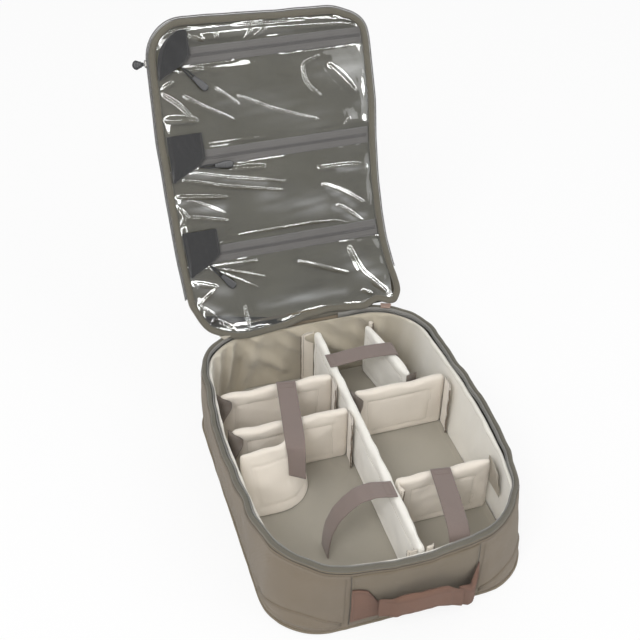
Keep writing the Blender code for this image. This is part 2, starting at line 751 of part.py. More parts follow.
def pocket_tape(number, rise, lid):
    """Both halves of a pocket zip's tape, with the closed coil as a ridge down the middle."""
    tape = TAPE_WIDE / 2
    coil = COIL_WIDE / 2
    profile = (
        (-tape, WINDOW_LOW),
        (-tape, TAPE_FACE),
        (-coil, TAPE_FACE),
        (-coil, COIL_FACE),
        (coil, COIL_FACE),
        (coil, TAPE_FACE),
        (tape, TAPE_FACE),
        (tape, WINDOW_LOW),
    )
    start = [(ZIP_START - LID_INSIDE, rise + y, level) for y, level in profile]
    end = [(lid_edge_across(rise + y, BINDING_INSET), rise + y, level) for y, level in profile]
    solid(f"pocket_zip_tape_{number}", [start, end], "zip_grey", lid)


def garage(number, rise, lid):
    """A fabric flap that covers the parked slider, sewn down along its left edge."""
    top = rise + GARAGE_ABOVE
    full = GARAGE_WIDE - LID_INSIDE
    foot_level = WINDOW_LOW + WINDOW_SHEET + GAP
    high_level = GARAGE_LOW + GARAGE_SHEET
    sections = []
    for step in range(CURVE_STEPS + 1):
        place = rise - GARAGE_BELOW + (GARAGE_ABOVE + GARAGE_BELOW) * step / CURVE_STEPS
        left = -lid_edge_across(place, BINDING_INSET, GARAGE_CORNER_RADIUS)
        slope = min((place - rise + GARAGE_BELOW) / GARAGE_SLOPE, 1)
        right = max(-LID_INSIDE + GARAGE_WIDE * math.sin(math.pi / 2 * slope), left + 3 * GARAGE_SHEET)
        right = min(right, full)
        foot = left + GARAGE_SHEET
        acrosses = (left, left, right, right, foot, foot)
        heights = (foot_level, high_level, high_level, GARAGE_LOW, GARAGE_LOW, foot_level)
        sections.append([(across, min(place, top), level) for across, level in zip(acrosses, heights)])
    solid(f"zip_garage_{number}", sections, "black_fabric", lid)


def box(name, centre, size, material, parent):
    """A plain block."""
    x, y, z = (side / 2 for side in size)
    plan = [(centre[0] + i * x, centre[1] + j * y) for i, j in ((-1, -1), (1, -1), (1, 1), (-1, 1))]
    return plate(name, plan, centre[2] - z, 2 * z, material, parent)


def slider_and_pull(number, rise, root, lean_degrees, lid):
    """A pocket zip's slider, with the stub of its cord, and the pull that flips up from the stub's end."""
    rest = Vector((SLIDER_REST - LID_WIDTH / 2, rise, 0.0))
    carriage = frame_empty(f"pocket_slider_frame_{number}", rest, parent=lid)
    middle = SLIDER_LOW + SLIDER_TALL / 2
    size = (SLIDER_LONG, SLIDER_WIDE, SLIDER_TALL)
    slider = box(f"pocket_zip_slider_{number}", (0, 0, middle), size, "slider_metal", carriage)
    offset = Vector((*root, 0.0))
    level = Vector((0.0, 0.0, PULL_LEVEL))
    tip = offset * (1 - PULL_SWEEP / offset.length)
    union(slider, rod(f"slider_stub_{number}", level, level + tip, STUB_THICK, carriage))
    turn = (0.0, 0.0, math.radians(lean_degrees))
    pivot = frame_empty(f"pocket_pull_frame_{number}", offset + level, turn, carriage)
    pull(f"pocket_zip_pull_{number}", PULL_CORD_LONG, PADDLE_LONG, pivot)


def rod(name, start, end, thick, parent):
    """A square bar between two points at one level."""
    side = (end - start).cross(Vector((0, 0, 1))).normalized() * thick / 2
    rise = Vector((0, 0, thick / 2))
    sections = []
    for place in (start, end):
        sections.append([place - side - rise, place + side - rise, place + side + rise, place - side + rise])
    return solid(name, sections, "slider_metal", parent)


def pull(name, cord_long, paddle_long, pivot):
    """A cord and a rubber paddle with a round end, along the pivot's X from its axis."""
    cord = PULL_CORD / 2
    wide = PADDLE_WIDE / 2
    thin = -cord
    places = [(-PULL_TAIL, cord), (cord_long, cord), (cord_long + cord, wide / 2)]
    for step in range(PADDLE_STEPS):
        angle = math.pi / 2 * step / PADDLE_STEPS
        reach = cord_long + paddle_long - wide + wide * math.sin(angle)
        places.append((reach, wide * math.cos(angle)))
    sections = []
    for index, (reach, half) in enumerate(places):
        high = cord if index < 2 else thin + PADDLE_THICK
        sections.append([(reach, -half, thin), (reach, half, thin), (reach, half, high), (reach, -half, high)])
    return solid(name, sections, "black_rubber", pivot)


def closure_slider(lid):
    """The closing zip's slider, parked on the lid's left edge, and its short pull."""
    turnup = COVER_TURNUP - LID_DEPTH
    coil_face = -LID_WIDTH / 2 - 2 * GAP - LID_TAPE - LID_COIL
    across = coil_face - GAP - CLOSURE_WIDE / 2
    level = turnup - LID_COIL / 2
    carriage = frame_empty("closure_slider_frame", (across, CLOSURE_REST_RISE, level), parent=lid)
    size = (CLOSURE_WIDE, CLOSURE_LONG, CLOSURE_TALL)
    box("closure_slider", (0, 0, 0), size, "slider_metal", carriage)
    root = (-CLOSURE_WIDE / 2 - PULL_SWEEP, 0, 0)
    pivot = frame_empty("closure_pull_frame", root, (0, 0, math.pi), carriage)
    pull("closure_pull", SHORT_CORD_LONG, SHORT_PADDLE_LONG, pivot)


def lid_assembly():
    """Everything on the lid, on an empty at the hinge whose Y runs up the open lid."""
    lean = (math.radians(LID_LEAN_DEGREES), 0.0, 0.0)
    lid = frame_empty("lid_frame", (LID_ASIDE, HINGE_ALONG, HINGE_UP), lean)
    lid_layers(lid)
    windows(lid)
    rises = (TOP_ZIP_RISE, MIDDLE_ZIP_RISE, LOW_ZIP_RISE)
    for number, rise in enumerate(rises, 1):
        pocket_tape(number, rise, lid)
        garage(number, rise, lid)
        slider_and_pull(number, rise, PULL_ROOTS[number - 1], PULL_LEANS_DEGREES[number - 1], lid)
    closure_slider(lid)


def divider_plan(length, half, flaps):
    """Plan of a padded panel along X with thin flaps turned square at its ends.

    flaps gives how far the flap at each corner reaches past the panel, as (end, side) pairs.
    """
    points = []
    corners = ((0, -1), (1, -1), (1, 1), (0, 1))
    for end, side in corners:
        edge = length * end
        inner = edge + FLAP_SHEET * (1 - 2 * end)
        reach = flaps.get((end, side), 0)
        if not reach:
            points.append((edge, side * half))
            continue
        far = side * (DIVIDER_THICK / 2 + reach)
        tip = [(edge, far), (inner, far), (inner, side * half)]
        points += tip if (end == 0) == (side == -1) else tip[::-1]
    return points


def divider(name, length, thickness, flaps, parent):
    """A padded divider: a panel with eased top edges, standing on the floor pad."""
    half = thickness / 2
    eased = half - DIVIDER_EASE / 2
    rows = ((half, DIVIDER_LOW), (half, DIVIDER_TOP - DIVIDER_EASE), (eased, DIVIDER_TOP))
    sections = [raised(divider_plan(length, wide, flaps), level) for wide, level in rows]
    return solid(name, sections, "beige_liner", parent)


def hook_tab(name, place, reach, side, parent):
    """A hook tab on a divider's end face, turned along the wall; place is where its panel side lies."""
    half = DIVIDER_THICK / 2
    near, far = place
    plan = [(near, -side * half), (far, -side * half), (far, side * (half + reach)), (near, side * (half + reach))]
    low = DIVIDER_LOW + HOOK_TAB_LOW
    high = DIVIDER_TOP - HOOK_TAB_DROP
    plate(name, plan, low, high - low, "hook_brown", parent)


def central_divider():
    """The long divider from the rear wall to the front wall."""
    half = LONG_DIVIDER_THICK / 2
    rear = REAR_INSIDE - DIVIDER_END_GAP
    reach = CENTRAL_FRONT_FLAP + DIVIDER_THICK / 2
    fronts = []
    for across in (CENTRAL_ACROSS - reach, CENTRAL_ACROSS + reach):
        fronts += [front_face(across, height, LINER_INSIDE) for height in (DIVIDER_LOW, DIVIDER_TOP)]
    front = max(fronts) + DIVIDER_END_GAP
    home = frame_empty("central_divider_frame", (CENTRAL_ACROSS, rear, 0.0), (0, 0, -math.pi / 2))
    flaps = {(0, -1): CENTRAL_REAR_FLAP, (1, -1): CENTRAL_FRONT_FLAP, (1, 1): CENTRAL_FRONT_FLAP}
    divider("central_divider", rear - front, 2 * half, flaps, home)


def short_divider():
    """The oblique divider from the rear wall to the first right cross divider."""
    half = LONG_DIVIDER_THICK / 2
    tab = HOOK_TAB_SHEET + 2 * GAP
    front = RIGHT_FIRST_ALONG + DIVIDER_THICK / 2 + DIVIDER_END_GAP
    rear = REAR_INSIDE - DIVIDER_END_GAP
    span = Vector((SHORT_FRONT_ACROSS - SHORT_REAR_ACROSS, front - rear))
    heading = math.atan2(span.y, span.x)
    trim = (half + SHORT_REAR_FLAP) * abs(math.cos(heading))
    start = Vector((SHORT_REAR_ACROSS, rear)) + span.normalized() * trim
    home = frame_empty("short_divider_frame", (*start, 0.0), (0, 0, heading))
    length = span.length - trim - tab - half * abs(math.cos(heading))
    divider("short_divider", length, 2 * half, {(0, 1): SHORT_REAR_FLAP / 2}, home)
    hook_tab("short_divider_hook_tab", (length + GAP, length + GAP + HOOK_TAB_SHEET), 0.0, 1, home)


def cross_divider(name, start, end, along, flaps, tab=None):
    """A divider across the tub between two walls, with a hook tab on its left (0) or right (1) end if asked."""
    room = GAP + HOOK_TAB_SHEET if tab is not None else 0.0
    left = start + (room if tab == 0 else 0.0)
    right = end - (room if tab == 1 else 0.0)
    home = frame_empty(name + "_frame", (left, along, 0.0))
    length = right - left
    divider(name, length, DIVIDER_THICK, flaps, home)
    if tab == 0:
        hook_tab(name + "_hook_tab", (-GAP - HOOK_TAB_SHEET, -GAP), LEFT_TAB_REACH, -1, home)
    if tab == 1:
        place = (length + GAP, length + GAP + HOOK_TAB_SHEET)
        hook_tab(name + "_hook_tab", place, RIGHT_TAB_REACH, -1, home)


def cross_dividers():
    """Two on the left of the central divider and two on its right."""
    beside = LONG_DIVIDER_THICK / 2 + DIVIDER_END_GAP
    reach = DIVIDER_THICK / 2 + SIDE_FLAP
    left = CENTRAL_ACROSS - beside
    right = CENTRAL_ACROSS + beside
    front_flap = {(1, -1): SIDE_FLAP}
    for name, along in (("left_cross_divider_1", LEFT_FIRST_ALONG), ("left_cross_divider_2", LEFT_SECOND_ALONG)):
        wall = -side_room(along + DIVIDER_THICK / 2, along - reach)
        cross_divider(name, wall, left, along, front_flap, tab=0)
    wall = side_room(RIGHT_FIRST_ALONG + DIVIDER_THICK / 2, RIGHT_FIRST_ALONG - reach)
    cross_divider("right_cross_divider_1", right, wall, RIGHT_FIRST_ALONG, front_flap, tab=0)
    wall = side_room(RIGHT_SECOND_ALONG + DIVIDER_THICK / 2, RIGHT_SECOND_ALONG - reach)
    cross_divider("right_cross_divider_2", right, wall, RIGHT_SECOND_ALONG, {(0, -1): SIDE_FLAP / 2}, tab=1)


def curved_path(wall, along, across, radius, end, inset):
    """Plan points from the left wall, round a bend, to the divider behind, moved in by an inset."""
    centre = (across - radius, along + radius)
    points = [Vector((wall, along + inset))]
    points += arc(centre, radius - inset, 270, 360, CURVE_STEPS)
    points.append(Vector((across - inset, end)))
    return points


def curved_divider():
    """A padded wall bent round from the side wall to the second left cross divider, leaning out at its foot."""
    wall = DIVIDER_END_GAP - side_room(CURVED_TOP_ALONG, CURVED_LOW_ALONG)
    end = LEFT_SECOND_ALONG - DIVIDER_THICK / 2 - DIVIDER_END_GAP
    top = (CURVED_TOP_ALONG, CURVED_TOP_ACROSS, CURVED_TOP_RADIUS)
    low = (CURVED_LOW_ALONG, CURVED_LOW_ACROSS, CURVED_LOW_RADIUS)
    ease = DIVIDER_EASE / 2
    rows = (
        (low, 0, DIVIDER_LOW),
        (top, 0, DIVIDER_TOP - DIVIDER_EASE),
        (top, ease, DIVIDER_TOP),
        (top, CURVED_THICK - ease, DIVIDER_TOP),
        (top, CURVED_THICK, DIVIDER_TOP - DIVIDER_EASE),
        (low, CURVED_THICK, DIVIDER_LOW),
    )
    paths = [(curved_path(wall, *edge, end, inset), level) for edge, inset, level in rows]
    count = len(paths[0][0])
    home = frame_empty("curved_divider_frame", (wall, end, 0.0))
    sections = []
    for index in range(count):
        sections.append([(path[index].x - wall, path[index].y - end, level) for path, level in paths])
    solid("curved_divider", sections, "beige_liner", home)


def strap(name, route, location, heading_degrees):
    """A webbing strap from its sewn end at an empty: route lists how far along and how high its underside runs."""
    home = frame_empty(name + "_frame", location, (0, 0, math.radians(heading_degrees)))
    half = STRAP_WIDE / 2
    places = [Vector((along, 0, up)) for along, up in route]
    sections = []
    for index, place in enumerate(places):
        before = places[max(index - 1, 0)]
        after = places[min(index + 1, len(places) - 1)]
        one = (place - before).normalized() if index else (after - place).normalized()
        two = (after - place).normalized() if index < len(places) - 1 else one
        run = (one + two).normalized()
        normal = Vector((-run.z, 0, run.x)) * STRAP_SHEET / max(run.dot(one), MITRE_LIMIT_SHARE)
        side = Vector((0, half, 0))
        sections.append([place - side, place + side, place + side + normal, place - side + normal])
    return solid(name, sections, "brown_webbing", home)


def strap_route(shares, *runs):
    """How far along and how high a strap's underside runs, from its table of shares."""
    drop = STRAP_UNDER - DIVIDER_LOW
    route = []
    for *along, sheets, fall in shares:
        route.append((sum(share * run for share, run in zip(along, runs)), sheets * STRAP_SHEET + fall * drop))
    return route


def divider_straps():
    """Two straps sewn to the central divider: one over the short divider, one down to the floor."""
    left = CENTRAL_ACROSS - LONG_DIVIDER_THICK / 2
    slope = (SHORT_FRONT_ACROSS - SHORT_REAR_ACROSS) / RIGHT_REAR_BAY
    short_face = SHORT_REAR_ACROSS + slope * REAR_STRAP_SETBACK + LONG_DIVIDER_THICK / 2
    span = short_face + slope * STRAP_WIDE / 2 + 3 * STRAP_LIFT - left
    place = (left, REAR_STRAP_ALONG, STRAP_UNDER)
    strap("rear_strap", strap_route(REAR_ROUTE_SHARES, span), place, 0.0)
    place = (CENTRAL_ACROSS, FLOOR_STRAP_ALONG, STRAP_UNDER)
    route = strap_route(FLOOR_ROUTE_SHARES, STRAP_UNDER - DIVIDER_LOW)
    strap("floor_strap", route, place, 180.0)


def cross_straps():
    """Two straps from cross dividers: one over the left bays, one down the front wall."""
    first = LEFT_FIRST_ALONG - LEFT_SECOND_ALONG
    second = LEFT_SECOND_ALONG - CURVED_TOP_ALONG
    lean = CURVED_TOP_ALONG - CURVED_LOW_ALONG
    route = strap_route(LEFT_ROUTE_SHARES, first, second, lean)
    place = (LEFT_STRAP_ACROSS, LEFT_FIRST_ALONG, STRAP_UNDER)
    strap("left_strap", route, place, LEFT_STRAP_HEADING_DEGREES - 90.0)
    reach = RIGHT_SECOND_ALONG - front_face(FRONT_STRAP_ACROSS, DIVIDER_TOP, LINER_INSIDE)
    route = strap_route(FRONT_ROUTE_SHARES, reach)
    place = (FRONT_STRAP_ACROSS, RIGHT_SECOND_ALONG, STRAP_UNDER)
    strap("front_strap", route, place, FRONT_STRAP_HEADING_DEGREES - 90.0)


def main():
    clear_scene()
    tub_layers()
    rim_trim()
    front_panel()
    corner_patches()
    grab_handle()
    hinge_strip()
    zip_end_tabs()
    lid_assembly()
    central_divider()
    short_divider()
    cross_dividers()
    curved_divider()
    divider_straps()
    cross_straps()


main()
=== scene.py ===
import math

import bpy
import numpy as np
from mathutils import Matrix, Vector
from mathutils.bvhtree import BVHTree


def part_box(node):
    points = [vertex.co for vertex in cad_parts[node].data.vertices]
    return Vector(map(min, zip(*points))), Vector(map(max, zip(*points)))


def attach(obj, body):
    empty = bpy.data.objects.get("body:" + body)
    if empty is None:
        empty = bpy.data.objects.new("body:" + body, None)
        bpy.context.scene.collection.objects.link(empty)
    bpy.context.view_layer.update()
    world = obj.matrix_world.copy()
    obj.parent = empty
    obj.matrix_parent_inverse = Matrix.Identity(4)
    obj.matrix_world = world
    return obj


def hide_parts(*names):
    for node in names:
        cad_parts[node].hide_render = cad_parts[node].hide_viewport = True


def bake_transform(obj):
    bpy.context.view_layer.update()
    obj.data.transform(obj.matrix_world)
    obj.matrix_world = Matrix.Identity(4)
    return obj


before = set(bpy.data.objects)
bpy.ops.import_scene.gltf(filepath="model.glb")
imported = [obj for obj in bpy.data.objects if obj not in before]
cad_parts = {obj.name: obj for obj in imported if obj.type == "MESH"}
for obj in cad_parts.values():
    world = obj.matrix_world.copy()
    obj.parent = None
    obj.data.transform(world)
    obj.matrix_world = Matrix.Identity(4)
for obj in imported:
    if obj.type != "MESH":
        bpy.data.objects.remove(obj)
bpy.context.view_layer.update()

# Tub, in metres, as in the CAD source
RIM_WIDTH = 0.300
RIM_LENGTH = 0.410
TUB_HEIGHT = 0.115
CORNER_RADIUS = 0.070
SIDE_BOW = 0.020
FRONT_BOW = 0.025
SIDE_FLARE = 0.0125
FRONT_FLARE = 0.0145
LINER_INSIDE = 0.0125
FLOOR_TOP = 0.0126
DIVIDER_LOW = 0.0129
DIVIDER_TOP = 0.097
STRAP_UNDER = 0.0975
STRAP_WIDE = 0.025
STRAP_SHEET = 0.0016
PANEL_WIDTH = 0.153
WIDE_SIDE = RIM_WIDTH / 2 - CORNER_RADIUS
LONG_SIDE = RIM_LENGTH / 2 - CORNER_RADIUS
QUARTER = math.pi * CORNER_RADIUS / 2

# Lid, on its own axes: X across, Y up from the hinge, Z out of its inner face
LID_ORIGIN = (-0.008, 0.2059, 0.12)
LID_LEAN = math.radians(60)
LID_WIDTH = 0.294
LID_LENGTH = 0.404
LID_START = 0.0031
LID_FAR_RADIUS = 0.050
BINDING_WIDE = 0.0095
LID_INSIDE = 0.1366
ZIP_RISES = (0.359, 0.2265, 0.0995)
TAPE_WIDE = 0.022
WINDOW_TOP = 0.3965
WINDOW_BOTTOM = 0.0140

UP = np.array([0.0, 0.0, 1.0])
FRONTWARD = np.array([0.0, -1.0, 0.0])
FLAT = np.array([1, 1, 0])


# Shapes from points


def unit(vectors):
    """The same directions, each with a length of one."""
    return vectors / np.maximum(np.linalg.norm(vectors, axis=-1, keepdims=True), 1e-12)


def lengths(points):
    """Distance run along a row of points."""
    steps = np.linalg.norm(np.diff(points, axis=0), axis=1)
    return np.concatenate([[0.0], np.cumsum(steps)])


def resample(points, spacing=None, count=None):
    """The same line with evenly spaced points."""
    points = np.asarray(points, float)
    run = lengths(points)
    if count is None:
        count = max(int(round(run[-1] / spacing)) + 1, 3)
    places = np.linspace(0, run[-1], count)
    return np.stack([np.interp(places, run, points[:, axis]) for axis in range(points.shape[1])], 1)


def rounded(points, spacing, passes=6):
    """An open line resampled and smoothed, with its ends kept."""
    line = resample(points, spacing)
    for _ in range(passes):
        line[1:-1] = (line[:-2] + 2 * line[1:-1] + line[2:]) / 4
    return line


def smooth_step(value):
    """Eases a value from 0 to 1 at both ends."""
    value = np.clip(value, 0, 1)
    return value * value * (3 - 2 * value)


def bell(value, middle, width):
    """1 at the middle, falling smoothly to 0 over the width."""
    return np.exp(-(((value - middle) / width) ** 2))


def eased(places, knots, values):
    """Values between knots, with the corners at the knots rounded off."""
    fine = np.linspace(knots[0], knots[-1], 241)
    bent = np.interp(fine, knots, values)
    for _ in range(60):
        bent[1:-1] = bent[1:-1] * 0.5 + (bent[:-2] + bent[2:]) * 0.25
    return np.interp(places, fine, bent)


def ripple(points, wavelength, seed, octaves=2):
    """Smooth irregular heights, mostly from -1 to 1, the same on each run."""
    chance = np.random.default_rng(seed)
    points = np.asarray(points, float)
    total = np.zeros(points.shape[:-1])
    for octave in range(octaves):
        for _ in range(5):
            direction = unit(chance.normal(size=3))
            wave = 2 * math.pi / (wavelength * chance.uniform(0.7, 1.5) / 2**octave)
            total += np.sin(points @ direction * wave + chance.uniform(0, 2 * math.pi)) * 0.5**octave
    return total / 2.2


def grid_normals(grid):
    """The direction that a grid of points faces at each of them."""
    along = np.gradient(grid, axis=0)
    across = np.gradient(grid, axis=1)
    return unit(np.cross(across, along))


def make_piece(name, points, faces, uvs, material):
    """A smooth shaded mesh, with uvs for each corner in metres."""
    mesh = bpy.data.meshes.new(name)
    mesh.from_pydata(np.asarray(points).tolist(), [], faces)
    layer = mesh.uv_layers.new(name="UVMap")
    layer.data.foreach_set("uv", np.asarray(uvs, np.float32).ravel())
    mesh.polygons.foreach_set("use_smooth", [True] * len(mesh.polygons))
    mesh.materials.append(material)
    mesh.update()
    shown = bpy.data.objects.new(name, mesh)
    bpy.context.scene.collection.objects.link(shown)
    return shown


def grid_piece(name, grid, material, ring_rows=False, ring_columns=False, caps=False):
    """A mesh over rows and columns of points. Rings join their last row or column to the first."""
    rows, columns = grid.shape[:2]
    closed_down = np.concatenate([grid, grid[:1]]) if ring_rows else grid
    closed_over = np.concatenate([grid, grid[:, :1]], 1) if ring_columns else grid
    down = np.mean([lengths(closed_down[:, index]) for index in range(0, columns, max(columns // 6, 1))], 0)
    over = np.mean([lengths(closed_over[index]) for index in range(0, rows, max(rows // 6, 1))], 0)
    first, second = np.meshgrid(np.arange(len(down) - 1), np.arange(len(over) - 1), indexing="ij")
    first, second = first.ravel(), second.ravel()
    corners = ((0, 0), (0, 1), (1, 1), (1, 0))
    faces = np.stack([((first + i) % rows) * columns + (second + j) % columns for i, j in corners], 1)
    uvs = np.stack([np.stack([over[second + j], down[first + i]], 1) for i, j in corners], 1).reshape(-1, 2)
    points, faces = grid.reshape(-1, 3), faces.tolist()
    if caps:
        points, uvs = add_caps(grid, points, faces, uvs)
    return make_piece(name, points, faces, uvs, material)


def add_caps(grid, points, faces, uvs):
    """Closes the first and last rows of a grid, each with a fan round its middle."""
    rows, columns = grid.shape[:2]
    for row, turn in ((0, 1), (rows - 1, -1)):
        ring = grid[row]
        middle = ring.mean(0)
        frame_x = unit(ring[columns // 4] - middle)
        frame_y = unit(np.cross(np.cross(frame_x, ring[0] - middle + 1e-9), frame_x))
        flat = np.stack([(ring - middle) @ frame_x, (ring - middle) @ frame_y], 1)
        points = np.concatenate([points, [middle]])
        for index in range(columns):
            after = (index + 1) % columns
            order = (row * columns + after, row * columns + index, len(points) - 1)
            faces.append(order[::turn])
            corner_uvs = (flat[after], flat[index], np.zeros(2))
            uvs = np.concatenate([uvs, np.array(corner_uvs[::turn])])
    return points, uvs


def turned_out(shown):
    """Makes the faces of a closed mesh look outward."""
    mesh = shown.data
    volume = 0.0
    for face in mesh.polygons:
        corners = [mesh.vertices[index].co for index in face.vertices]
        for index in range(1, len(corners) - 1):
            volume += corners[0].dot(corners[index].cross(corners[index + 1]))
    if volume < 0:
        mesh.flip_normals()
    return shown


def closed_piece(name, grid, material):
    """A closed body: each row of the grid is a ring, and the first and last ring are capped."""
    return turned_out(grid_piece(name, grid, material, False, True, True))


def tube(name, path, radius, material, closed=False, sides=12, flat=1.0, up=(0, 0, 1)):
    """A round or oval cord along a path; radius may change from point to point."""
    path = np.asarray(path, float)
    if closed:
        along = unit(np.roll(path, -1, 0) - np.roll(path, 1, 0))
    else:
        along = unit(np.gradient(path, axis=0))
    up = np.broadcast_to(np.asarray(up, float), path.shape)
    side = unit(np.cross(along, up))
    rise = unit(np.cross(side, along))
    radius = np.broadcast_to(radius, (len(path),))[:, None, None]
    angles = np.linspace(0, 2 * math.pi, sides, endpoint=False)
    turn_cos, turn_sin = np.cos(angles)[None, :, None], np.sin(angles)[None, :, None]
    ring = side[:, None] * turn_cos + rise[:, None] * turn_sin * flat
    return turned_out(grid_piece(name, path[:, None] + ring * radius, material, closed, True, not closed))


def sheet_piece(name, grid, thick, material, roll=0.4, lift=0.0):
    """A sheet on an underside grid; its upper face sinks at the edges by a share of the thickness."""
    rows, columns = grid.shape[:2]
    normals = grid_normals(grid)
    edge = np.minimum(
        np.minimum(np.arange(rows), np.arange(rows)[::-1])[:, None],
        np.minimum(np.arange(columns), np.arange(columns)[::-1])[None],
    )
    rise = thick * (1 - roll * np.exp(-edge / 0.8))
    outer = grid + normals * (rise + lift)[..., None]
    under = grid + normals * lift
    ring = np.concatenate([outer, under[:, ::-1]], 1)
    return closed_piece(name, ring, material)


def join(name, pieces):
    """Several meshes as one piece."""
    bpy.ops.object.select_all(action="DESELECT")
    for shown in pieces:
        shown.select_set(True)
    bpy.context.view_layer.objects.active = pieces[0]
    bpy.ops.object.join()
    pieces[0].name = name
    pieces[0].data.name = name
    return pieces[0]


def bead_shape(size, around=6):
    """The points and faces of one rounded bead along X: size is half of its length, width and height."""
    shape = [(-1.0, 0.0, 0.0)]
    for reach, wide in ((-0.75, 0.8), (0.0, 1.0), (0.75, 0.8)):
        for step in range(around):
            angle = 2 * math.pi * step / around
            shape.append((reach, wide * math.cos(angle), wide * math.sin(angle)))
    shape = np.array(shape + [(1.0, 0.0, 0.0)]) * size
    last = len(shape) - 1
    faces = []
    for step in range(around):
        after = (step + 1) % around
        faces.append((0, 1 + after, 1 + step))
        faces.append((last, last - around + step, last - around + after))
        for low in (1, 1 + around):
            faces.append((low + step, low + after, low + around + after, low + around + step))
    return shape, faces


def bead_row(name, places, alongs, outs, size, material):
    """Small beads, such as stitches or zip teeth, each along its direction and facing out."""
    arrays = (np.asarray(value, float) for value in (places, alongs, outs))
    places, alongs, outs = np.broadcast_arrays(*arrays)
    alongs = unit(alongs)
    sides = unit(np.cross(outs, alongs))
    outs = unit(np.cross(alongs, sides))
    shape, faces = bead_shape(size)
    axes = np.stack([alongs, sides, outs], 1)
    points = (places[:, None] + np.einsum("sk,nkd->nsd", shape, axes)).reshape(-1, 3)
    every = [
        tuple(index + bead * len(shape) for index in face) for bead in range(len(places)) for face in faces
    ]
    corner_total = sum(len(face) for face in faces) * len(places)
    return make_piece(name, points, every, np.zeros((corner_total, 2)), material)


def stitch_row(name, line, outs, material, pitch=0.0034, thick=0.0003, closed=False):
    """Stitches along a line on a surface, laid just into it; outs point away from the surface."""
    line = np.asarray(line, float)
    outs = np.broadcast_to(np.asarray(outs, float), line.shape)
    if closed:
        line = np.concatenate([line, line[:1]])
        outs = np.concatenate([outs, outs[:1]])
    run = lengths(line)
    places = np.arange(pitch / 2, run[-1], pitch)

    def pick(values):
        return np.stack([np.interp(places, run, values[:, axis]) for axis in range(3)], 1)

    along = unit(np.gradient(line, axis=0))
    outward = pick(outs)
    size = (pitch * 0.38, thick, thick)
    return bead_row(name, pick(line) + outward * thick * 0.4, pick(along), outward, size, material)


class Surface:
    """Finds the nearest place on some shown pieces, to lay stitches on."""

    def __init__(self, *pieces):
        points, faces = [], []
        for shown in pieces:
            start = len(points)
            points += [vertex.co.copy() for vertex in shown.data.vertices]
            faces += [[index + start for index in face.vertices] for face in shown.data.polygons]
        self.tree = BVHTree.FromPolygons(points, faces)

    def onto(self, line, outs=None):
        """The nearest places and normals, turned to the side that outs names."""
        found = [self.tree.find_nearest(Vector(point)) for point in line]
        places = np.array([hit[0] for hit in found])
        normals = np.array([hit[1] for hit in found])
        if outs is not None:
            wrong = np.sum(normals * outs, 1) < 0
            normals[wrong] *= -1
        return places, normals


def mesh_points(shown):
    """The places of a mesh's points."""
    points = np.empty(len(shown.data.vertices) * 3)
    shown.data.vertices.foreach_get("co", points)
    return points.reshape(-1, 3)


def move_points(shown, points):
    """Puts a mesh's points at new places."""
    shown.data.vertices.foreach_set("co", np.asarray(points).ravel())
    shown.data.update()


def puffed(shown, cap, held=None, frames=14):
    """Swells a padded mesh with cloth pressure: points move up to a cap, and those in held stay sewn down."""
    before = mesh_points(shown)
    modifier = shown.modifiers.new("swell", "CLOTH")
    settings = modifier.settings
    settings.quality = 4
    settings.use_pressure = True
    settings.uniform_pressure_force = 4.0
    settings.effector_weights.gravity = 0
    if held is not None:
        group = shown.vertex_groups.new(name="sewn")
        group.add([int(index) for index in np.flatnonzero(held)], 1.0, "REPLACE")
        settings.vertex_group_mass = "sewn"
    modifier.point_cache.frame_start = 1
    modifier.point_cache.frame_end = frames
    for number in range(1, frames + 1):
        bpy.context.scene.frame_set(number)
    swollen = shown.evaluated_get(bpy.context.evaluated_depsgraph_get())
    after = np.array([vertex.co for vertex in swollen.data.vertices])
    shown.modifiers.remove(modifier)
    shown.vertex_groups.clear()
    bpy.context.scene.frame_set(1)
    moved = after - before
    reach = np.maximum(np.linalg.norm(moved, axis=1, keepdims=True), 1e-9)
    move_points(shown, before + moved / reach * cap * np.tanh(reach / cap))


def subdivided(shown):
    """One subdivision, applied."""
    modifier = shown.modifiers.new("smooth", "SUBSURF")
    modifier.levels = 1
    modifier.render_levels = 1
    smooth = shown.evaluated_get(bpy.context.evaluated_depsgraph_get())
    mesh = bpy.data.meshes.new_from_object(smooth)
    shown.modifiers.remove(modifier)
    shown.data = mesh
    mesh.name = shown.name


def paint(shown, name, values):
    """Stores a value for each point, for the material to read."""
    layer = shown.data.attributes.new(name, "FLOAT", "POINT")
    layer.data.foreach_set("value", np.asarray(values, np.float32).ravel())


def stand_in(shown, slot, *nodes):
    """Lets a piece take the place of CAD nodes."""
    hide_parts(*nodes)


def ride_all(body, *pieces):
    """Fixes pieces to a body."""
    for shown in pieces:
        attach(shown, body)


# Materials


def linear(red, green, blue):
    """A colour given out of 255, as the shader's linear values."""
    values = []
    for value in (red, green, blue):
        share = value / 255
        values.append(share / 12.92 if share <= 0.04045 else ((share + 0.055) / 1.055) ** 2.4)
    return (*values, 1.0)


def scaled(colour, factor):
    """A lighter or darker colour."""
    return tuple(min(value * factor, 1.0) for value in colour[:3]) + (1.0,)


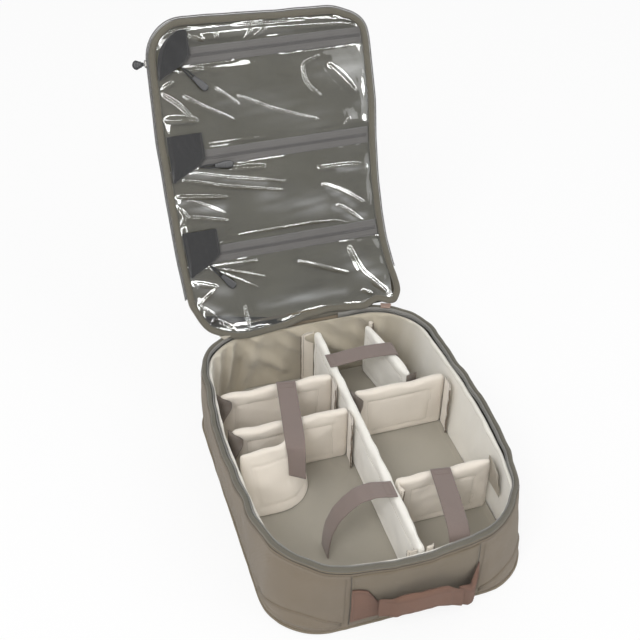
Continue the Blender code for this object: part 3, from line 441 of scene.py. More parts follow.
class Nodes:
    """Short calls for building a material's nodes."""

    def __init__(self, name):
        self.material = bpy.data.materials.new(name)
        self.material.use_nodes = True
        self.tree = self.material.node_tree
        self.shader = self.tree.nodes["Principled BSDF"]

    def add(self, kind, **settings):
        node = self.tree.nodes.new(kind)
        for key, value in settings.items():
            setattr(node, key, value)
        return node

    def link(self, start, end):
        self.tree.links.new(start, end)

    def give(self, node, values):
        """Sets sockets of a node by their names."""
        for label, value in values.items():
            node.inputs[label].default_value = value

    def math(self, operation, first, second=None):
        node = self.add("ShaderNodeMath", operation=operation)
        for socket, value in zip(node.inputs, (first, second)):
            if value is None:
                continue
            if isinstance(value, (int, float)):
                socket.default_value = value
            else:
                self.link(value, socket)
        return node.outputs[0]

    def vector(self, operation, first, second):
        """Multiplies a vector by another, or scales it."""
        node = self.add("ShaderNodeVectorMath", operation=operation)
        self.link(first, node.inputs[0])
        self.link(second, node.inputs["Scale" if operation == "SCALE" else 1])
        return node.outputs["Vector"]

    def ranged(self, value, limits, **settings):
        """Maps a value from the first two limits to the last two."""
        node = self.add("ShaderNodeMapRange", **settings)
        self.link(value, node.inputs["Value"])
        self.give(node, dict(zip(("From Min", "From Max", "To Min", "To Max"), limits)))
        return node.outputs["Result"]

    def noise(self, coordinates, scale, detail=3.0, rough=0.55):
        node = self.add("ShaderNodeTexNoise")
        self.link(coordinates, node.inputs["Vector"])
        self.give(node, {"Scale": scale, "Detail": detail, "Roughness": rough})
        return node.outputs["Fac"]

    def bands(self, coordinates, pitch, axis):
        """Smooth ridges at a pitch along one axis of the coordinates."""
        node = self.add("ShaderNodeTexWave", wave_type="BANDS", bands_direction=axis, wave_profile="SIN")
        self.link(coordinates, node.inputs["Vector"])
        node.inputs["Scale"].default_value = math.pi / 10 / pitch
        return node.outputs["Fac"]

    def checks(self, coordinates, pitch):
        node = self.add("ShaderNodeTexChecker")
        self.link(coordinates, node.inputs["Vector"])
        node.inputs["Scale"].default_value = 1 / pitch
        return node.outputs["Fac"]

    def bump(self, height, distance, before=None):
        node = self.add("ShaderNodeBump")
        self.give(node, {"Strength": 1.0, "Distance": distance})
        self.link(height, node.inputs["Height"])
        if before is not None:
            self.link(before, node.inputs["Normal"])
        return node.outputs["Normal"]

    def blend_colour(self, share, dark, light):
        node = self.add("ShaderNodeMix", data_type="RGBA")
        self.link(share, node.inputs["Factor"])
        for socket, value in ((node.inputs[6], dark), (node.inputs[7], light)):
            if isinstance(value, tuple):
                socket.default_value = value
            else:
                self.link(value, socket)
        return node.outputs[2]


def thread_height(nodes, coordinates, pitch, stretch):
    """Threads that go over and under each other, as a height from 0 to 1."""
    shape = nodes.add("ShaderNodeMapping")
    nodes.link(coordinates, shape.inputs["Vector"])
    shape.inputs["Scale"].default_value = (1.0, stretch, 1.0)
    threads = shape.outputs["Vector"]
    turn = nodes.checks(threads, pitch)
    over = nodes.math("MULTIPLY", nodes.bands(threads, pitch, "X"), turn)
    under = nodes.math("MULTIPLY", nodes.bands(threads, pitch, "Y"), nodes.math("SUBTRACT", 1.0, turn))
    return nodes.math("ADD", over, under)


# Where the painted shade on the tub's rear wall starts and where it is full, along Y
REAR_SHADE_START = 0.12
REAR_SHADE_END = 0.192


def rear_painted_shade(nodes, place, colours, rear):
    """Paints shade: multiplies the colours by a darker one toward the tub's rear wall."""
    split = nodes.add("ShaderNodeSeparateXYZ")
    nodes.link(place, split.inputs[0])
    limits = (REAR_SHADE_START, REAR_SHADE_END, 0.0, 1.0)
    back = nodes.ranged(split.outputs["Y"], limits, interpolation_type="SMOOTHSTEP")
    return nodes.vector("MULTIPLY", colours, nodes.blend_colour(back, (1, 1, 1, 1), (*rear, 1)))


def fabric(name, colour, pitch=0.0011, stretch=1.0, rough=0.88, weave=0.00025, crease=0.0005,
           contrast=0.16, mottle=0.10, sheen=0.25, rear=None):
    """Woven cloth: threads over and under, mottled colour, small creases, lighter where it's worn, and, with
    rear given, painted shade toward the tub's rear wall.
    """
    nodes = Nodes(name)
    where = nodes.add("ShaderNodeTexCoord")
    place = where.outputs["Object"]
    height = thread_height(nodes, where.outputs["UV"], pitch, stretch)
    fine = nodes.noise(place, 900.0, 2.0)
    tone = nodes.math("ADD", nodes.math("MULTIPLY", height, 0.45), nodes.math("MULTIPLY", fine, 0.55))
    base = linear(*colour)
    colours = nodes.blend_colour(tone, scaled(base, 1 - contrast), scaled(base, 1 + contrast))
    # rear paints shade: the colours darken toward the tub's rear wall
    if rear:
        colours = rear_painted_shade(nodes, place, colours, rear)
    mottled = nodes.ranged(nodes.noise(place, 14.0, 4.0), (0.3, 0.7, 1 - mottle, 1 + mottle))
    colours = nodes.vector("SCALE", colours, mottled)
    wear = nodes.add("ShaderNodeAttribute", attribute_name="wear").outputs["Fac"]
    rubbed = nodes.math("MULTIPLY", wear, nodes.noise(place, 160.0, 3.0))
    nodes.link(nodes.blend_colour(rubbed, colours, scaled(base, 1.5)), nodes.shader.inputs["Base Color"])
    nodes.give(nodes.shader, {"Roughness": rough, "Sheen Weight": sheen, "Sheen Roughness": 0.5,
                              "Specular IOR Level": 0.25})
    creased = nodes.bump(nodes.noise(place, 70.0, 3.0), crease)
    nodes.link(nodes.bump(height, weave, creased), nodes.shader.inputs["Normal"])
    return nodes.material


def moulded(name, colour, rough=0.5, metallic=0.0, grain=0.00006, size=500.0):
    """Rubber, plastic or painted metal with a fine grain and uneven gloss."""
    nodes = Nodes(name)
    place = nodes.add("ShaderNodeTexCoord").outputs["Object"]
    fine = nodes.noise(place, size, 3.0)
    broad = nodes.noise(place, size / 12, 3.0)
    base = linear(*colour)
    colours = nodes.blend_colour(broad, scaled(base, 0.88), scaled(base, 1.12))
    nodes.link(colours, nodes.shader.inputs["Base Color"])
    nodes.shader.inputs["Metallic"].default_value = metallic
    gloss = nodes.ranged(fine, (0.0, 1.0, rough - 0.12, rough + 0.12))
    nodes.link(gloss, nodes.shader.inputs["Roughness"])
    nodes.link(nodes.bump(fine, grain), nodes.shader.inputs["Normal"])
    return nodes.material


def clear_vinyl(name):
    """Thin clear film: mostly see-through, mirror bright where it turns away, milky with random haze, and
    brighter in painted glare streaks that raise its mirror reflection.
    """
    nodes = Nodes(name)
    place = nodes.add("ShaderNodeTexCoord").outputs["Object"]
    gloss = nodes.add("ShaderNodeFresnel")
    gloss.inputs["IOR"].default_value = 1.65
    haze_and_painted_glare = nodes.math("MULTIPLY", nodes.noise(place, 30.0, 4.0), 0.06)
    # The attribute adds painted glare: streaks where the film's mirror reflection is made stronger.
    haze_and_painted_glare = nodes.math("ADD", haze_and_painted_glare, nodes.add("ShaderNodeAttribute", attribute_name="haze_and_painted_glare").outputs["Fac"])
    nodes.link(nodes.math("ADD", gloss.outputs[0], haze_and_painted_glare), nodes.shader.inputs["Alpha"])
    nodes.give(nodes.shader, {"Base Color": (0.95, 0.96, 0.95, 1.0), "Metallic": 1.0, "Roughness": 0.05})
    normal = nodes.bump(nodes.noise(place, 32.0, 2.0, 0.5), 0.0008)
    nodes.link(normal, nodes.shader.inputs["Normal"])
    nodes.link(normal, gloss.inputs["Normal"])
    return nodes.material


OUTER = dict(pitch=0.0010, contrast=0.14, mottle=0.05, crease=0.0006)
BEIGE = dict(pitch=0.0008, weave=0.00012, contrast=0.04, mottle=0.035, sheen=0.5)
TAPE = dict(pitch=0.0009, stretch=0.5, weave=0.0002)
THREAD = dict(pitch=0.0005, contrast=0.2)

SHELL = fabric("shell_fabric", (123, 110, 92), **OUTER)
PANEL = fabric("front_panel_fabric", (118, 106, 87), **OUTER)
LID_OUT = fabric("lid_cover_fabric", (112, 104, 88), **OUTER)
LID_IN = fabric("lid_lining_fabric", (115, 112, 97), pitch=0.0009, mottle=0.07, crease=0.0010)
BINDING = fabric("binding_tape", (101, 97, 86), pitch=0.0012, stretch=0.6, contrast=0.14, mottle=0.06,
                 crease=0.0008)
PIPING = fabric("piping_tape", (126, 115, 97), pitch=0.0010, stretch=0.6, contrast=0.14, mottle=0.05)
# The liner's rear factor is painted shade on its rear wall.
LINER = fabric("liner_fabric", (243, 239, 229), crease=0.0007, rear=(0.53, 0.49, 0.42), **BEIGE)
PAD_LIGHT = fabric("long_divider_fabric", (244, 241, 233), crease=0.0006, **BEIGE)
PAD = fabric("divider_fabric", (233, 224, 211), crease=0.0006, **BEIGE)
FLOOR = fabric("floor_fabric", (172, 166, 153), pitch=0.0009, weave=0.00015, contrast=0.06, mottle=0.05,
               crease=0.0008, sheen=0.4)
WEBBING = fabric("strap_webbing", (129, 115, 109), pitch=0.0012, stretch=0.6, weave=0.00022, contrast=0.10,
                 mottle=0.05, crease=0.0004)
HANDLE = fabric("handle_fabric", (121, 91, 76), weave=0.0003, mottle=0.07, crease=0.0008, sheen=0.1)
HOOK = fabric("hook_tape", (122, 104, 88), pitch=0.0007, weave=0.0006, contrast=0.3, mottle=0.06,
              rough=0.95, sheen=0.5)
HOOK_LIGHT = fabric("hook_tape_light", (214, 204, 187), pitch=0.0007, weave=0.0005, contrast=0.12)
EDGING = fabric("flap_edging", (128, 112, 96), pitch=0.0006, contrast=0.2)
TAB_BEIGE = fabric("tab_beige_fabric", (192, 184, 168), pitch=0.0009, contrast=0.08)
TAB_PINK = fabric("tab_pink_fabric", (158, 129, 115), pitch=0.0009, contrast=0.10)
ZIP_TAPE = fabric("zip_tape_fabric", (111, 109, 107), contrast=0.14, mottle=0.04, **TAPE)
# Lighter copy of the zip tape for the tub's half of the closing zip: painted light on its shaded inner rim.
RIM_TAPE_PAINTED_LIGHT = fabric("rim_zip_tape_painted_light", (146, 144, 139), contrast=0.12, **TAPE)
GARAGE = fabric("garage_fabric", (46, 46, 47), pitch=0.0009, weave=0.0002, contrast=0.25, mottle=0.08,
                rough=0.8, sheen=0.35)
CORD = fabric("pull_cord", (45, 45, 47), pitch=0.0006, weave=0.0003, contrast=0.3, rough=0.7, sheen=0.3)
THREAD_DARK = fabric("thread_olive", (106, 97, 80), **THREAD)
# Dark olive for thin cords laid in seam grooves as painted shadow.
SEAM_PAINTED_SHADOW = fabric("seam_shadow_olive", (76, 69, 56), **THREAD)
THREAD_LIGHT = fabric("thread_beige", (196, 189, 174), pitch=0.0005, contrast=0.12)
THREAD_GREY = fabric("thread_grey", (98, 96, 92), **THREAD)
THREAD_BROWN = fabric("thread_brown", (104, 84, 74), **THREAD)
BOARD = moulded("base_board_fibre", (70, 68, 64), rough=0.75, grain=0.0002)
# Lighter copy of the zip coil for the tub's half: painted light on its shaded inner rim.
RIM_COIL_PAINTED_LIGHT = moulded("rim_coil_painted_light", (122, 121, 118))
COIL = moulded("zip_coil_nylon", (92, 90, 89), rough=0.45)
RUBBER = moulded("pull_rubber", (40, 40, 42), rough=0.45, grain=0.00008)
METAL = moulded("slider_metal", (120, 118, 115), rough=0.35, metallic=0.9)
VINYL = clear_vinyl("pocket_vinyl")


# Tub walls


def plan(share):
    """Corner centre and outward direction on the rim's rounded plan: share goes once round from the
    rear middle by the left side."""
    side = (QUARTER, 2 * LONG_SIDE, QUARTER)
    runs = (WIDE_SIDE, *side, 2 * WIDE_SIDE, *side, WIDE_SIDE)
    ends = np.concatenate([[0.0], np.cumsum(runs)])
    place = np.mod(np.asarray(share, float), 1.0) * ends[-1]
    centre = np.zeros(place.shape + (2,))
    normal = np.zeros(place.shape + (2,))
    corners = (None, (-1, 1, 90), None, (-1, -1, 180), None, (1, -1, 270), None, (1, 1, 0), None)
    straights = {
        0: ((0, LONG_SIDE), (-WIDE_SIDE, LONG_SIDE), (0, 1)),
        2: ((-WIDE_SIDE, LONG_SIDE), (-WIDE_SIDE, -LONG_SIDE), (-1, 0)),
        4: ((-WIDE_SIDE, -LONG_SIDE), (WIDE_SIDE, -LONG_SIDE), (0, -1)),
        6: ((WIDE_SIDE, -LONG_SIDE), (WIDE_SIDE, LONG_SIDE), (1, 0)),
        8: ((WIDE_SIDE, LONG_SIDE), (0, LONG_SIDE), (0, 1)),
    }
    for index, run in enumerate(runs):
        inside = (place >= ends[index]) & (place <= ends[index + 1])
        part = ((place[inside] - ends[index]) / run)[..., None]
        if index in straights:
            start, end, out = (np.array(value, float) for value in straights[index])
            centre[inside] = start + (end - start) * part
            normal[inside] = out
        else:
            side_x, side_y, first = corners[index]
            angle = np.radians(first + 90 * part[..., 0])
            centre[inside] = (side_x * WIDE_SIDE, side_y * LONG_SIDE)
            normal[inside] = np.stack([np.cos(angle), np.sin(angle)], -1)
    return centre, normal


def wall(share, height, inset=0.0, soft=1.0):
    """Places on the tub wall at a height, moved in by an inset, with the fabric's soft swell."""
    values = (np.asarray(value, float) for value in (share, height, inset))
    share, height, inset = np.broadcast_arrays(*values)
    centre, normal = plan(share)
    up = height / TUB_HEIGHT
    reach = (CORNER_RADIUS - inset)[..., None] * normal
    low = centre.copy()
    low[..., 0] *= 1 + SIDE_FLARE / WIDE_SIDE
    low[..., 1] = LONG_SIDE - (LONG_SIDE - centre[..., 1]) * (1 + FRONT_FLARE / 2 / LONG_SIDE)
    low += reach
    high = centre + reach
    side_bow = SIDE_BOW * np.cos(math.pi / 2 * high[..., 1] / (RIM_LENGTH / 2))
    out = side_bow * high[..., 0] / (RIM_WIDTH / 2 - inset)
    share_fore = np.minimum(high[..., 1] / (RIM_LENGTH / 2 - inset), 0)
    fore = FRONT_BOW * np.cos(math.pi / 2 * high[..., 0] / (RIM_WIDTH / 2)) * share_fore
    high = high + np.stack([out, fore], -1)
    flat = low + (high - low) * up[..., None]
    shown = np.concatenate([flat, height[..., None]], -1)
    swell = swelling(shown, up) * soft
    shown[..., :2] += normal * swell[..., None]
    shown[..., 2] += rim_wave(shown) * smooth_step((up - 0.5) * 2) * soft
    return shown


def swelling(places, up):
    """How far the wall's fabric stands out: a full middle and slow waves, still at the base."""
    full = 0.0020 * np.sin(math.pi * np.clip(up, 0, 1)) ** 0.8
    stretched = places * np.array([1.0, 1.0, 0.45])
    slow = 0.0014 * ripple(stretched, 0.13, 3) + 0.0006 * ripple(stretched, 0.045, 5)
    creased = np.clip(ripple(places * np.array([0.5, 0.5, 2.6]), 0.055, 6), 0, 1.2) ** 2
    low_folds = 0.0016 * creased * bell(up, 0.17, 0.09)
    return full + slow * smooth_step(up * 5) - low_folds


def rim_wave(places):
    """How far the rim rises and dips along the tub."""
    return 0.0011 * ripple(places * FLAT, 0.16, 8) - 0.0006


def front_share(rim_across):
    """The share round the plan of a place on the straight part of the front rim."""
    before = 2 * (WIDE_SIDE + QUARTER + LONG_SIDE)
    return (before + rim_across) / (4 * (WIDE_SIDE + LONG_SIDE + QUARTER))


def wall_section(shares, section):
    """Wall places in rows across the section, each of whose points is an inset and a height."""
    return np.stack([wall(shares, height, inset) for inset, height in section], 1)


# Sections of the wall's pieces, each row an inset and a height
SHELL_SECTION = (
    (0.006, 0.0004), (0.003, 0.0004), (0.0012, 0.0012), (0.0003, 0.0026), (0.0, 0.005),
    *((0.0, height) for height in np.arange(0.008, 0.098, 0.0045)),
    *((0.0, height) for height in np.arange(0.099, 0.1055, 0.0009)),
    (0.0002, 0.1072), (0.0012, 0.1084), (0.0030, 0.1088), (0.0050, 0.1084), (0.0062, 0.1066),
    (0.0066, 0.1040),
)
FLANGE_SECTION = ((0.0005, 0.1080), (0.0001, 0.1092), (0.0004, 0.1100), (0.0040, 0.1100), (0.0042, 0.1080))
TAPE_SECTION = ((0.0064, 0.1143), (0.0072, 0.1143), (0.0074, 0.1100), (0.0074, 0.1046), (0.0064, 0.1046),
                (0.0063, 0.1100))
LINER_SECTION = (
    (0.0100, 0.0070), (0.0118, 0.0075), (LINER_INSIDE, 0.0100),
    *((LINER_INSIDE, height) for height in np.arange(0.014, 0.100, 0.0045)),
    (LINER_INSIDE, 0.1010), (LINER_INSIDE, 0.1035), (0.0121, 0.1055), (0.0108, 0.1068), (0.0094, 0.1067),
    (0.0082, 0.1058), (0.0079, 0.1035), (0.0079, 0.0980), (0.0079, 0.0500), (0.0079, 0.0090),
)
FLOOR_SECTION = ((0.0150, 0.0068), (0.0131, 0.0075), (0.0128, 0.0095), (0.0133, 0.0116), (0.0150, 0.0124),
                 (0.0185, 0.0121), (0.0215, 0.0116), (0.0245, 0.0121))


def seam_depth(shares, height):
    """How deep its seams under the rim and over the foot draw the shell in."""
    rim = 0.5 * bell(height, 0.1075, 0.0010) + 0.35 * bell(height, 0.0985, 0.0035)
    foot = 0.25 * bell(height, 0.0125, 0.0022)
    return (rim * 0.0016 + foot * 0.0008) * (1 + 0.5 * np.sin(shares * 2 * math.pi * 150))


def outer_shell():
    """Shell fabric: floor, rounded foot, swelling wall with a seam under the rim, and its turned edge."""
    shares = np.linspace(0, 1, 520, endpoint=False)
    rows = []
    for scale in (0.0, 0.3, 0.6, 0.85):
        row = wall(shares, 0.0, 0.006) * (scale, scale, 1)
        row[:, 2] = 0.0006
        rows.append(row)
    for inset, height in SHELL_SECTION:
        row = wall(shares, height, inset)
        outward = unit(row - wall(shares, height, inset + 0.003))
        rows.append(row - outward * seam_depth(shares, height)[:, None])
    grid = np.stack(rows, 0)
    shell = turned_out(grid_piece("tub_shell", grid, SHELL, False, True))
    heights = grid[..., 2]
    near_rim = np.exp(-np.abs(heights - 0.107) / 0.0025) * 0.5
    paint(shell, "wear", near_rim + np.exp(-np.abs(heights - 0.003) / 0.003) * 0.55)
    stand_in(shell, "olive_shell", "outer_shell")
    line = wall(shares, 0.1045, -0.0004)
    outs = unit(line - wall(shares, 0.1045, 0.003))
    seam = stitch_row("tub_rim_stitches", line, outs, THREAD_DARK, closed=True)
    # A thin dark cord in the groove under the rim: painted shadow of the seam.
    fold = tube("tub_rim_seam_painted_shadow", wall(shares, 0.1077, 0.0002), 0.0005, SEAM_PAINTED_SHADOW, True, 8)
    ride_all("tub", shell, seam, fold)


def tub_pipings():
    """The rim's piping with its sewn flange, and the base's piping."""
    shares = np.linspace(0, 1, 560, endpoint=False)
    rim = wall(shares, TUB_HEIGHT - 0.003, 0.003)
    rim_cord = tube("tub_rim_piping", rim, 0.0030 * (1 + 0.05 * ripple(rim, 0.02, 21)), BINDING, True, 14)
    grid = wall_section(np.linspace(0, 1, 420, endpoint=False), FLANGE_SECTION)
    flange = turned_out(grid_piece("tub_rim_piping_flange", grid, PIPING, True, True))
    stand_in(rim_cord, "binding", "rim_piping")
    low = wall(shares, 0.0034, -0.0004, soft=0.6)
    foot_cord = tube("tub_base_piping", low, 0.0017 * (1 + 0.07 * ripple(low, 0.02, 22)), PIPING, True, 12)
    stand_in(foot_cord, "binding", "base_piping")
    ride_all("tub", rim_cord, flange, foot_cord)


def tub_zip():
    """The tub's half of the closing zip: a woven tape hanging inside the rim, and its coil, both in lighter
    copies of the zip's colours as painted light on the shaded inner rim.
    """
    shares = np.linspace(0.035, 0.965, 520)
    tape = closed_piece("tub_zip_tape_cloth", wall_section(shares, TAPE_SECTION), RIM_TAPE_PAINTED_LIGHT)
    stand_in(tape, "zip_grey", "tub_zip_tape")
    line = resample(wall(shares, 0.1105, 0.0084), 0.0016)
    inward = unit(np.cross(unit(np.gradient(line, axis=0)), UP))
    teeth = bead_row("tub_zip_teeth", line, inward, UP, (0.0009, 0.0005, 0.0009), RIM_COIL_PAINTED_LIGHT)
    coil = join("tub_zip_coil_row", [teeth, tube("tub_zip_cord", line[::3], 0.0005, RIM_COIL_PAINTED_LIGHT, False, 6)])
    stand_in(coil, "coil_grey", "tub_zip_coil")
    ride_all("tub", tape, coil)


def liner():
    """Beige wall lining over the side foam, with soft folds where the rear corners turn."""
    shares = np.linspace(0, 1, 480, endpoint=False)
    rows = []
    for inset, height in LINER_SECTION:
        row = wall(shares, height, inset, soft=0.35)
        if inset > 0.0118:
            inward = unit(wall(shares, height, inset + 0.003) - row)
            row += inward * liner_folds(row, shares, height)[:, None]
        rows.append(row)
    lining = turned_out(grid_piece("tub_wall_liner", np.stack(rows, 1), LINER, True, True))
    stand_in(lining, "beige_liner", "wall_liner", "side_foam")
    edge = wall(shares, 0.1020, 0.0125, soft=0.35)
    outs = unit(wall(shares, 0.1020, 0.0160) - edge)
    line, _ = Surface(lining).onto(edge)
    seam = stitch_row("tub_liner_stitches", line, outs, THREAD_LIGHT, closed=True, thick=0.00025)
    ride_all("tub", lining, seam)


def liner_folds(places, shares, height):
    """Soft folds in the liner, upright by the rear corners and slanted along the rear wall."""
    level = np.clip(height / TUB_HEIGHT, 0, 1)
    side = 0.0006 * ripple(places * np.array([1, 1, 0.25]), 0.05, 31)
    corner = bell(shares, 0.080, 0.045) + 0.7 * bell(shares, 0.915, 0.035)
    slow = 1.6 * np.sin(shares * 2 * math.pi * 7.0 + 1.0)
    upright = (0.5 + 0.5 * np.sin(shares * 2 * math.pi * 36 + slow + 2.6 * level)) ** 2.6
    rear = np.exp(-((np.minimum(shares, 1 - shares) / 0.095) ** 4))
    across, along = places[:, 0], places[:, 1]
    slanted = np.stack([across + 0.8 * height, along * 0.3, across * 0.2 - 0.3 * height], 1)
    folds = np.clip(ripple(slanted, 0.036, 37), -0.5, 1.3)
    share_up = math.sin(math.pi * min(level * 0.92, 1)) ** 0.6
    return side + (0.0100 * corner * upright + 0.0046 * rear * folds) * share_up


def floor_pad():
    """A thin padded floor with an eased edge and a stitched line round it."""
    shares = np.linspace(0, 1, 400, endpoint=False)
    rows = [wall(shares, height, inset, soft=0.0) for inset, height in FLOOR_SECTION]
    last = rows[-1]
    for scale in (0.96, 0.88, 0.78, 0.66, 0.54, 0.42, 0.30, 0.18, 0.08, 0.0):
        row = last * np.array([scale, scale, 1.0])
        row[:, 2] = 0.0121 + 0.0004 * ripple(row, 0.07, 41)
        rows.append(row)
    grid = np.stack(rows, 0)
    pad = grid_piece("tub_floor_pad", grid, FLOOR, False, True)
    if sum(face.normal.z * face.area for face in pad.data.polygons) < 0:
        pad.data.flip_normals()
    stand_in(pad, "floor_fabric", "floor_pad")
    line = wall(shares, 0.0117, 0.0215, soft=0.0)
    seam = stitch_row("tub_floor_stitches", line, UP, THREAD_LIGHT, closed=True)
    ride_all("tub", pad, seam)


# Front panel, patches and handle


def front_grid(across_list, low_list, high_list, inset, steps=24):
    """Places on the front wall: one column for each place across the rim, from its low to its high edge."""
    columns = []
    insets = np.broadcast_to(inset, (len(across_list),))
    per_metre = (front_share(0.001) - front_share(0.0)) / 0.001
    for across, low, high, depth in zip(across_list, low_list, high_list, insets):
        heights = np.linspace(low, high, steps)
        shares = np.full(steps, front_share(across))
        for _ in range(3):
            shares += (across - wall(shares, heights, depth)[:, 0]) * per_metre
        columns.append(wall(shares, heights, depth))
    return np.stack(columns, 1)


def front_line(across, low, high, inset):
    """A line up the front wall at one place across it."""
    return front_grid([across], [low], [high], inset, 60)[:, 0]


def front_panel():
    """The panel between the two seams, with its stitches and, beside it, thin dark cords as painted shadow in
    the seam folds.
    """
    acrosses = np.linspace(-PANEL_WIDTH / 2, PANEL_WIDTH / 2, 80)
    even = np.ones(len(acrosses))
    grid = front_grid(acrosses, 0.0105 * even, 0.1035 * even, -0.0002, 44)
    panel = sheet_piece("tub_front_panel", grid, 0.0012, PANEL, roll=0.75)
    stand_in(panel, "olive_panel", "front_panel")
    seams, folds = [], []
    for side in (-1, 1):
        for step, inset in ((-0.0065, -0.0003), (0.0028, -0.00145)):
            across = side * (PANEL_WIDTH / 2 - step)
            line = front_line(across, 0.013, 0.100, inset)
            out = unit(line - front_line(across, 0.013, 0.100, 0.004))
            seams.append(stitch_row("seam", line, out, THREAD_DARK))
        # A thin dark cord along each seam fold: painted shadow.
        edge = front_line(side * (PANEL_WIDTH / 2 + 0.0004), 0.0115, 0.1020, -0.0004)
        folds.append(tube("fold", edge, 0.00042, SEAM_PAINTED_SHADOW, False, 8))
    seam = join("tub_front_panel_stitches", seams)
    fold = join("tub_front_panel_seam_shadows", folds)
    ride_all("tub", panel, seam, fold)


def corner_patches():
    """Low patches round the front corners, with arched and stitched top edges."""
    for name, first, last, node in (
        ("left", front_share(-0.08) - 0.088, front_share(-0.08) + 0.004, "corner_patch_left"),
        ("right", front_share(0.08) - 0.004, front_share(0.08) + 0.088, "corner_patch_right"),
    ):
        shares = np.linspace(first, last, 60)
        arch = np.sin(math.pi * np.linspace(0.03, 0.97, 60)) ** 0.8
        lows = np.full(60, 0.0085)
        highs = 0.0125 + 0.0215 * arch
        steps = np.linspace(0, 1, 16)[:, None]
        heights = lows + (highs - lows) * steps
        grid = wall(np.broadcast_to(shares, heights.shape), heights, -0.0002)
        patch = sheet_piece("tub_corner_patch_" + name, grid, 0.0008, SHELL, roll=0.8)
        stand_in(patch, "olive_panel", node)
        line = wall(shares, highs - 0.0028, -0.0011)
        out = unit(line - wall(shares, highs - 0.0028, 0.003))
        seam = stitch_row("tub_corner_stitches_" + name, line, out, THREAD_DARK, thick=0.00025)
        ride_all("tub", patch, seam)


GRIP_TALL = 0.036
GRIP_THICK = 0.008
# The sewn wedges, each row as place across, low edge, high edge and how far it lifts off the wall
LEFT_WEDGE = ((-0.0765, 0.0195, 0.0815, 0.0021), (-0.068, 0.0205, 0.0805, 0.0021),
              (-0.058, 0.0225, 0.0760, 0.0024), (-0.052, 0.0240, 0.0655, 0.0032),
              (-0.0465, 0.0255, 0.0545, 0.0040), (-0.0420, 0.0270, 0.0500, 0.0048))
RIGHT_WEDGE = ((0.0470, 0.0280, 0.0600, 0.0150), (0.0560, 0.0215, 0.0530, 0.0165),
               (0.0625, 0.0165, 0.0480, 0.0165), (0.0685, 0.0135, 0.0490, 0.0140),
               (0.0730, 0.0125, 0.0580, 0.0090), (0.0765, 0.0120, 0.0730, 0.0021))
# The grip's middle line, each row as place across, height and gap to the wall
GRIP_LINE = ((-0.0470, 0.0480, 0.0035), (-0.030, 0.0500, 0.0080), (0.0, 0.0535, 0.0100),
             (0.020, 0.0540, 0.0100), (0.032, 0.0515, 0.0115), (0.0530, 0.0400, 0.0132))


def handle_wedges():
    """The two sewn wedges; the right one is pulled off the wall."""
    for name, rows, steps in (("left", LEFT_WEDGE, 34), ("right", RIGHT_WEDGE, 40)):
        across, low, high, lift = np.array(rows).T
        places = np.linspace(across[0], across[-1], steps)
        low, high, lift = (eased(places, across, values) for values in (low, high, lift))
        grid = front_grid(places, low, high, -lift, 34)
        patch = sheet_piece("handle_patch_sewn_" + name, grid, 0.0020, HANDLE, roll=0.5)
        stand_in(patch, "brown_handle", "handle_patch_" + name)
        edge = np.concatenate([grid[3:-3, 2], grid[-4, 2:-2], grid[3:-3, -3][::-1], grid[3, 2:-2][::-1]])
        line, outs = Surface(patch).onto(edge + FRONTWARD * 0.004, FRONTWARD)
        seam = stitch_row("handle_patch_stitches_" + name, line, outs, THREAD_BROWN, closed=True)
        for shown in (patch, seam):
            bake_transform(shown)


def handle_grip():
    """The padded grip between the wedges, flat at its ends and swollen by cloth pressure."""
    across, rise, gap = np.array(GRIP_LINE).T
    count = 70
    places = np.linspace(across[0], across[-1], count)
    rises, gaps = eased(places, across, rise), eased(places, across, gap)
    face = front_grid(places, rises, rises, -0.0021, 2)[0]
    middles = np.stack([places, face[:, 1] - gaps - GRIP_THICK / 2, rises], 1)
    shares = np.linspace(-1, 1, count)
    full = smooth_step((places + 0.036) / 0.010) * smooth_step((0.042 - places) / 0.010)
    angles = np.linspace(0, 2 * math.pi, 36, endpoint=False)
    deep = np.sign(np.cos(angles)) * np.abs(np.cos(angles)) ** 0.9
    tall = np.sign(np.sin(angles)) * np.abs(np.sin(angles)) ** 0.45
    pinch = 0.26 + 0.66 * full
    wide = GRIP_TALL / 2 * (0.86 + 0.08 * full)
    rings = middles[:, None] + np.stack([
        np.zeros((count, 36)),
        deep[None] * GRIP_THICK / 2 * pinch[:, None],
        tall[None] * wide[:, None],
    ], -1)
    rings[..., 1] += 0.0005 * ripple(rings, 0.03, 51) * full[:, None]
    grip = closed_piece("handle_grip_padded", rings, HANDLE)
    puffed(grip, 0.0010, np.concatenate([np.repeat(full < 0.3, 36), [True, True]]))
    subdivided(grip)
    stand_in(grip, "brown_handle", "handle_grip")
    surface = Surface(grip)
    seams = []
    for height in (-0.0120, 0.0120):
        edge = middles[3:-3] + (0, -GRIP_THICK, height)
        line, outs = surface.onto(edge, FRONTWARD)
        seams.append(stitch_row("seam", line, outs, THREAD_BROWN))
    seam = join("handle_grip_stitches", seams)
    ride_all("handle", grip, seam)


# Lid


# The lid's own axes as rows: across, up from the hinge, and out of its inner face
LID_TURN = np.array([
    [1, 0, 0],
    [0, math.cos(LID_LEAN), math.sin(LID_LEAN)],
    [0, -math.sin(LID_LEAN), math.cos(LID_LEAN)],
])
LID_UP, LID_NORMAL = LID_TURN[1], LID_TURN[2]


def on_lid(points):
    """Lid places as places in the tub's frame."""
    return np.asarray(points, float) @ LID_TURN + np.array(LID_ORIGIN)


def lid_rows(rises, across):
    """Lid places in rows: across has a row of places for each rise."""
    return np.stack([across, np.broadcast_to(rises[:, None], across.shape), np.zeros_like(across)], -1)


def row_at(across, second, third):
    """A row of places across, all with the same second and third coordinates."""
    return np.stack([across, np.full(len(across), second), np.full(len(across), third)], 1)


